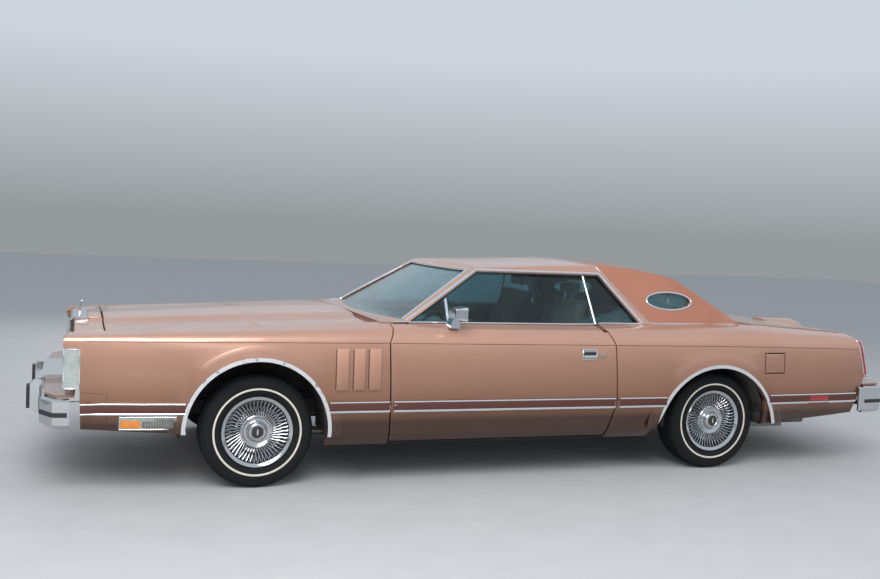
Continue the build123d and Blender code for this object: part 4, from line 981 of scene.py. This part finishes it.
deselect()
bpy.ops.mesh.primitive_grid_add(x_subdivisions=card["parts"][0], y_subdivisions=card["parts"][1], size=1,
                                location=(sum(card["x"]) / 2, 0.8, sum(card["z"]) / 2), rotation=(math.pi / 2, 0, 0))
cardPanel = bpy.context.object
cardPanel.scale = (card["x"][1] - card["x"][0], card["z"][1] - card["z"][0], 1)
settle(cardPanel)
for corner in cardPanel.data.vertices:
    corner.co.y = min(innerFace(corner.co.x, corner.co.z), card["farthestY"]) - card["gap"]
applyModifier(cardPanel, "SOLIDIFY", thickness=card["thickness"], offset=0)
smooth(cardPanel, 40)
paintWith(cardPanel, seatCloth)
innerY = innerFace(*card["restAt"])
across = [innerY + y for y in card["restY"]]
armRest = block("armRest", *zip(card["restX"], across, card["restZ"]), card["restBevel"], 4)
paintWith(armRest, dashGrain)
pullHandle = tube("pullHandle", [(x, innerY + y, card["pullZ"]) for x, y in card["pull"]], card["pullRadius"], chrome)
pair(join([cardPanel, armRest, pullHandle], "doorCard"), "door", "interior", "doorCard")
print("door cards made")

# Wheels and tyres
wheels = {
    "frontX": 1.679, "rearX": -1.379, "frontY": 0.8025, "rearY": 0.795, "hubZ": 0.324,
    "tyreRadius": 0.324, "steps": 96, "ringInner": 0.2425, "ringOuter": 0.2535, "cutDepth": 0.005,
    "treadBands": [(0.0565, 0.088), (0.0275, 0.0475)],
    "rim": [(-0.098, 0.182), (-0.098, 0.204), (-0.091, 0.204), (-0.088, 0.1898), (0.086, 0.1898), (0.091, 0.2035),
            (0.0955, 0.205), (0.0985, 0.203), (0.0965, 0.196), (0.0915, 0.19), (0.089, 0.184), (0.082, 0.181),
            (0.06, 0.178), (0.03, 0.174), (-0.098, 0.182)],
    "disc": [(0.012, 0.0203), (0.024, 0.0203), (0.024, 0.1745), (0.012, 0.1745), (0.012, 0.0203)],
    "hub": [(0.03, 0.0205), (0.03, 0.095), (0.066, 0.0945), (0.0745, 0.0925), (0.0775, 0.0885), (0.0765, 0.0845),
            (0.07, 0.078), (0.068, 0.07), (0.069, 0.063), (0.074, 0.0585), (0.086, 0.0555), (0.096, 0.05),
            (0.1, 0.044), (0.101, 0.036), (0.0985, 0.0335), (0.0985, 0.0)],
    "cap": [(0.0988, 0.0332), (0.1005, 0.03), (0.102, 0.015), (0.1024, 0.0)],
    "badgeHalf": (0.004, 0.016), "badgeY": (0.1015, 0.1036), "badgeBevel": 0.0015,
    "spokes": 48, "spokeRows": [(0.03, 0.068, 0.088), (-0.03, 0.04, 0.068)],
    "spokeFoot": 0.089, "spokeHead": 0.1765, "spokeRadius": 0.0021,
}


def makeTyre(centre):
    r = wheels["tyreRadius"]
    outer = [(0.086, 0.1905), (0.0895, 0.198), (0.088, 0.208), (0.0935, 0.216), (0.1005, 0.23),
             (0.1035, wheels["ringInner"]), (0.105, 0.244), (0.1055, 0.252), (0.105, wheels["ringOuter"]),
             (0.1065, 0.262), (0.107, 0.272), (0.105, 0.288), (0.103, 0.294), (0.1035, 0.297), (0.099, 0.304),
             (0.0925, 0.313), (0.0845, 0.3195), (0.07, r - 0.0008),
             (0.056, r - 0.0002), (0.055, r - 0.0075), (0.049, r - 0.0075), (0.048, r - 0.0001),
             (0.027, r), (0.026, r - 0.008), (0.02, r - 0.008), (0.019, r)]
    inner = [(-y, radius) for y, radius in reversed(outer)]
    hollow = [(-0.08, 0.1905), (-0.08, 0.22), (0.08, 0.22), (0.08, 0.1905), outer[0]]
    piece = lathe("tyreFrontLeft", outer + inner + hollow, centre, wheels["steps"])
    # cross cuts in the tread: every other face of the shoulder bands sinks
    edit(piece)
    bpy.ops.mesh.select_all(action="DESELECT")
    bpy.ops.object.mode_set(mode="OBJECT")
    for face in piece.data.polygons:
        middle = face.center - Vector(centre)
        radius = math.hypot(middle.x, middle.z)
        step = int((math.atan2(middle.z, middle.x) + math.pi) / (2 * math.pi) * wheels["steps"])
        onBand = any(low < abs(middle.y) < high for low, high in wheels["treadBands"])
        face.select = radius > r - 0.006 and onBand and step % 2 == 0
    edit(piece)
    bpy.ops.mesh.extrude_region_shrink_fatten(TRANSFORM_OT_shrink_fatten={"value": -wheels["cutDepth"]})
    bpy.ops.object.mode_set(mode="OBJECT")
    smooth(piece, 30)
    paintWith(piece, tyreRubber, whiteRing)
    for face in piece.data.polygons:
        middle = face.center - Vector(centre)
        radius = math.hypot(middle.x, middle.z)
        if middle.y > 0.09 and wheels["ringInner"] < radius < wheels["ringOuter"]:
            face.material_index = 1
    return piece


def makeWheel(centre):
    # a steel rim and a dark disc behind two leaning rows of wires round a stepped hub
    cx, cy, cz = centre
    rim = lathe("rim", wheels["rim"], centre, wheels["steps"])
    disc = lathe("disc", wheels["disc"], centre)
    hub = lathe("hub", wheels["hub"], centre)
    cap = lathe("capFace", wheels["cap"], centre, 48)
    x, z = wheels["badgeHalf"]
    near, far = (cy + y for y in wheels["badgeY"])
    badge = block("capBadge", (cx - x, near, cz - z), (cx + x, far, cz + z), wheels["badgeBevel"])
    spokes = []
    for lean, foot, head in wheels["spokeRows"]:
        deselect()
        start = Vector((cx, cy + foot, cz + wheels["spokeFoot"]))
        end = Vector((cx + lean, cy + head, cz + wheels["spokeHead"]))
        reach = end - start
        turn = reach.to_track_quat("Z", "Y").to_euler()
        bpy.ops.mesh.primitive_cylinder_add(vertices=6, radius=wheels["spokeRadius"], depth=reach.length,
                                            location=(start + end) / 2, rotation=turn)
        spoke = bpy.context.object
        settle(spoke)
        editWhole(spoke)
        bpy.ops.mesh.spin(steps=wheels["spokes"], dupli=True, angle=2 * math.pi, center=centre, axis=(0, 1, 0))
        faceOutwards(spoke)
        spokes.append(spoke)
    pieces = [rim, disc, hub, cap, badge] + spokes
    materials = (castChrome, darkRubber, castChrome, darkRubber, chrome, castChrome, castChrome)
    for piece, material in zip(pieces, materials):
        paintWith(piece, material)
    wheel = join(pieces, "wheelFrontLeft")
    smooth(wheel, 35)
    return wheel


frontLeft = (wheels["frontX"], wheels["frontY"], wheels["hubZ"])
rollers = [(makeTyre(frontLeft), "tyre", "tyre"), (makeWheel(frontLeft), "wheel", "chrome")]


def cornerCopy(piece, name, x, y, turned):
    twin = copyOf(piece, name)
    only(twin)
    side = -1 if turned else 1
    twin.rotation_euler = (0, 0, math.pi if turned else 0)
    twin.location = (x - side * frontLeft[0], y - side * frontLeft[1], 0)
    settle(twin)
    return twin


corners = {
    "FrontRight": (wheels["frontX"], -wheels["frontY"], True, "_front_right"),
    "RearLeft": (wheels["rearX"], wheels["rearY"], False, "_rear_left"),
    "RearRight": (wheels["rearX"], -wheels["rearY"], True, "_rear_right"),
}
for label, (x, y, turned, ending) in corners.items():
    for piece, stem, slot in rollers:
        carry(cornerCopy(piece, stem + label, x, y, turned), "wheel" + ending, slot, stem + ending)
for piece, stem, slot in rollers:
    carry(piece, "wheel_front_left", slot, stem + "_front_left")
print("wheels and tyres made")

# Stage, light and camera
stage = {
    "floorSize": 60, "floorZ": -0.0005, "floorColours": (0.44, 0.47), "floorRoughness": 0.85,
    "skyHigh": (0.62, 0.68, 0.77), "skyMiddle": (0.6, 0.65, 0.71), "skyLow": (0.3, 0.32, 0.33),
    "skyHeights": (0.0, 0.16, 0.6), "seenStrength": 1.0, "litStrength": 0.85, "aimZ": 0.6,
}
deselect()
bpy.ops.mesh.primitive_plane_add(size=stage["floorSize"], location=(0, 0, stage["floorZ"]))
floor = bpy.context.object
floor.name = "floor"
paintWith(floor, plainFinish("floorPale", *map(grey, stage["floorColours"]), stage["floorRoughness"], 4, 0.0))

world = bpy.data.worlds.new("studio")
bpy.context.scene.world = world
world.use_nodes = True
tree = world.node_tree
tree.nodes.clear()
coords = tree.nodes.new("ShaderNodeTexCoord")
height = axisOf(tree, coords.outputs["Generated"], "Z")
skies = (stage["skyLow"], stage["skyMiddle"], stage["skyHigh"])
shades = ramp(tree, height, *zip(stage["skyHeights"], skies))


def background(strength):
    node = tree.nodes.new("ShaderNodeBackground")
    node.inputs["Strength"].default_value = strength
    tree.links.new(shades, node.inputs["Color"])
    return node.outputs["Background"]


def greater(first, second):
    node = tree.nodes.new("ShaderNodeMath")
    node.operation = "MAXIMUM"
    tree.links.new(first, node.inputs[0])
    tree.links.new(second, node.inputs[1])
    return node.outputs[0]


# the sky is brighter where it is seen, mirrored or looked at through glass than where it lights
seen = background(stage["seenStrength"])
lit = background(stage["litStrength"])
path = tree.nodes.new("ShaderNodeLightPath").outputs
looking = greater(greater(path["Is Camera Ray"], path["Is Glossy Ray"]), path["Is Transmission Ray"])
mix = tree.nodes.new("ShaderNodeMixShader")
tree.links.new(looking, mix.inputs["Fac"])
tree.links.new(lit, mix.inputs[1])
tree.links.new(seen, mix.inputs[2])
out = tree.nodes.new("ShaderNodeOutputWorld")
tree.links.new(mix.outputs["Shader"], out.inputs["Surface"])

lamps = {
    "key": {"at": (3.5, 6.0, 6.0), "size": 5.0, "power": 560},
    "fill": {"at": (-6.0, 4.5, 4.0), "size": 5.0, "power": 150},
    "back": {"at": (0.0, -6.0, 5.0), "size": 6.0, "power": 190},
    "side": {"at": (3.8, 6.6, 1.3), "size": 3.0, "power": 90},
}
for name, values in lamps.items():
    bpy.ops.object.light_add(type="AREA", location=values["at"])
    lamp = bpy.context.object
    lamp.name = name
    lamp.data.size = values["size"]
    lamp.data.energy = values["power"]
    lamp.visible_glossy = name == "key"
    aim = Vector((0, 0, stage["aimZ"])) - Vector(values["at"])
    lamp.rotation_euler = aim.to_track_quat("-Z", "Y").to_euler()

view = {"at": (2.664, 6.573, 1.54), "turn": (86.43, -2.68, 160.31), "lens": 41.18, "sensor": 36}
bpy.ops.object.camera_add(location=view["at"], rotation=[math.radians(angle) for angle in view["turn"]])
camera = bpy.context.object
camera.data.lens = view["lens"]
camera.data.sensor_width = view["sensor"]
bpy.context.scene.camera = camera
bpy.context.scene.view_settings.view_transform = "Standard"
print("stage, light and camera set")
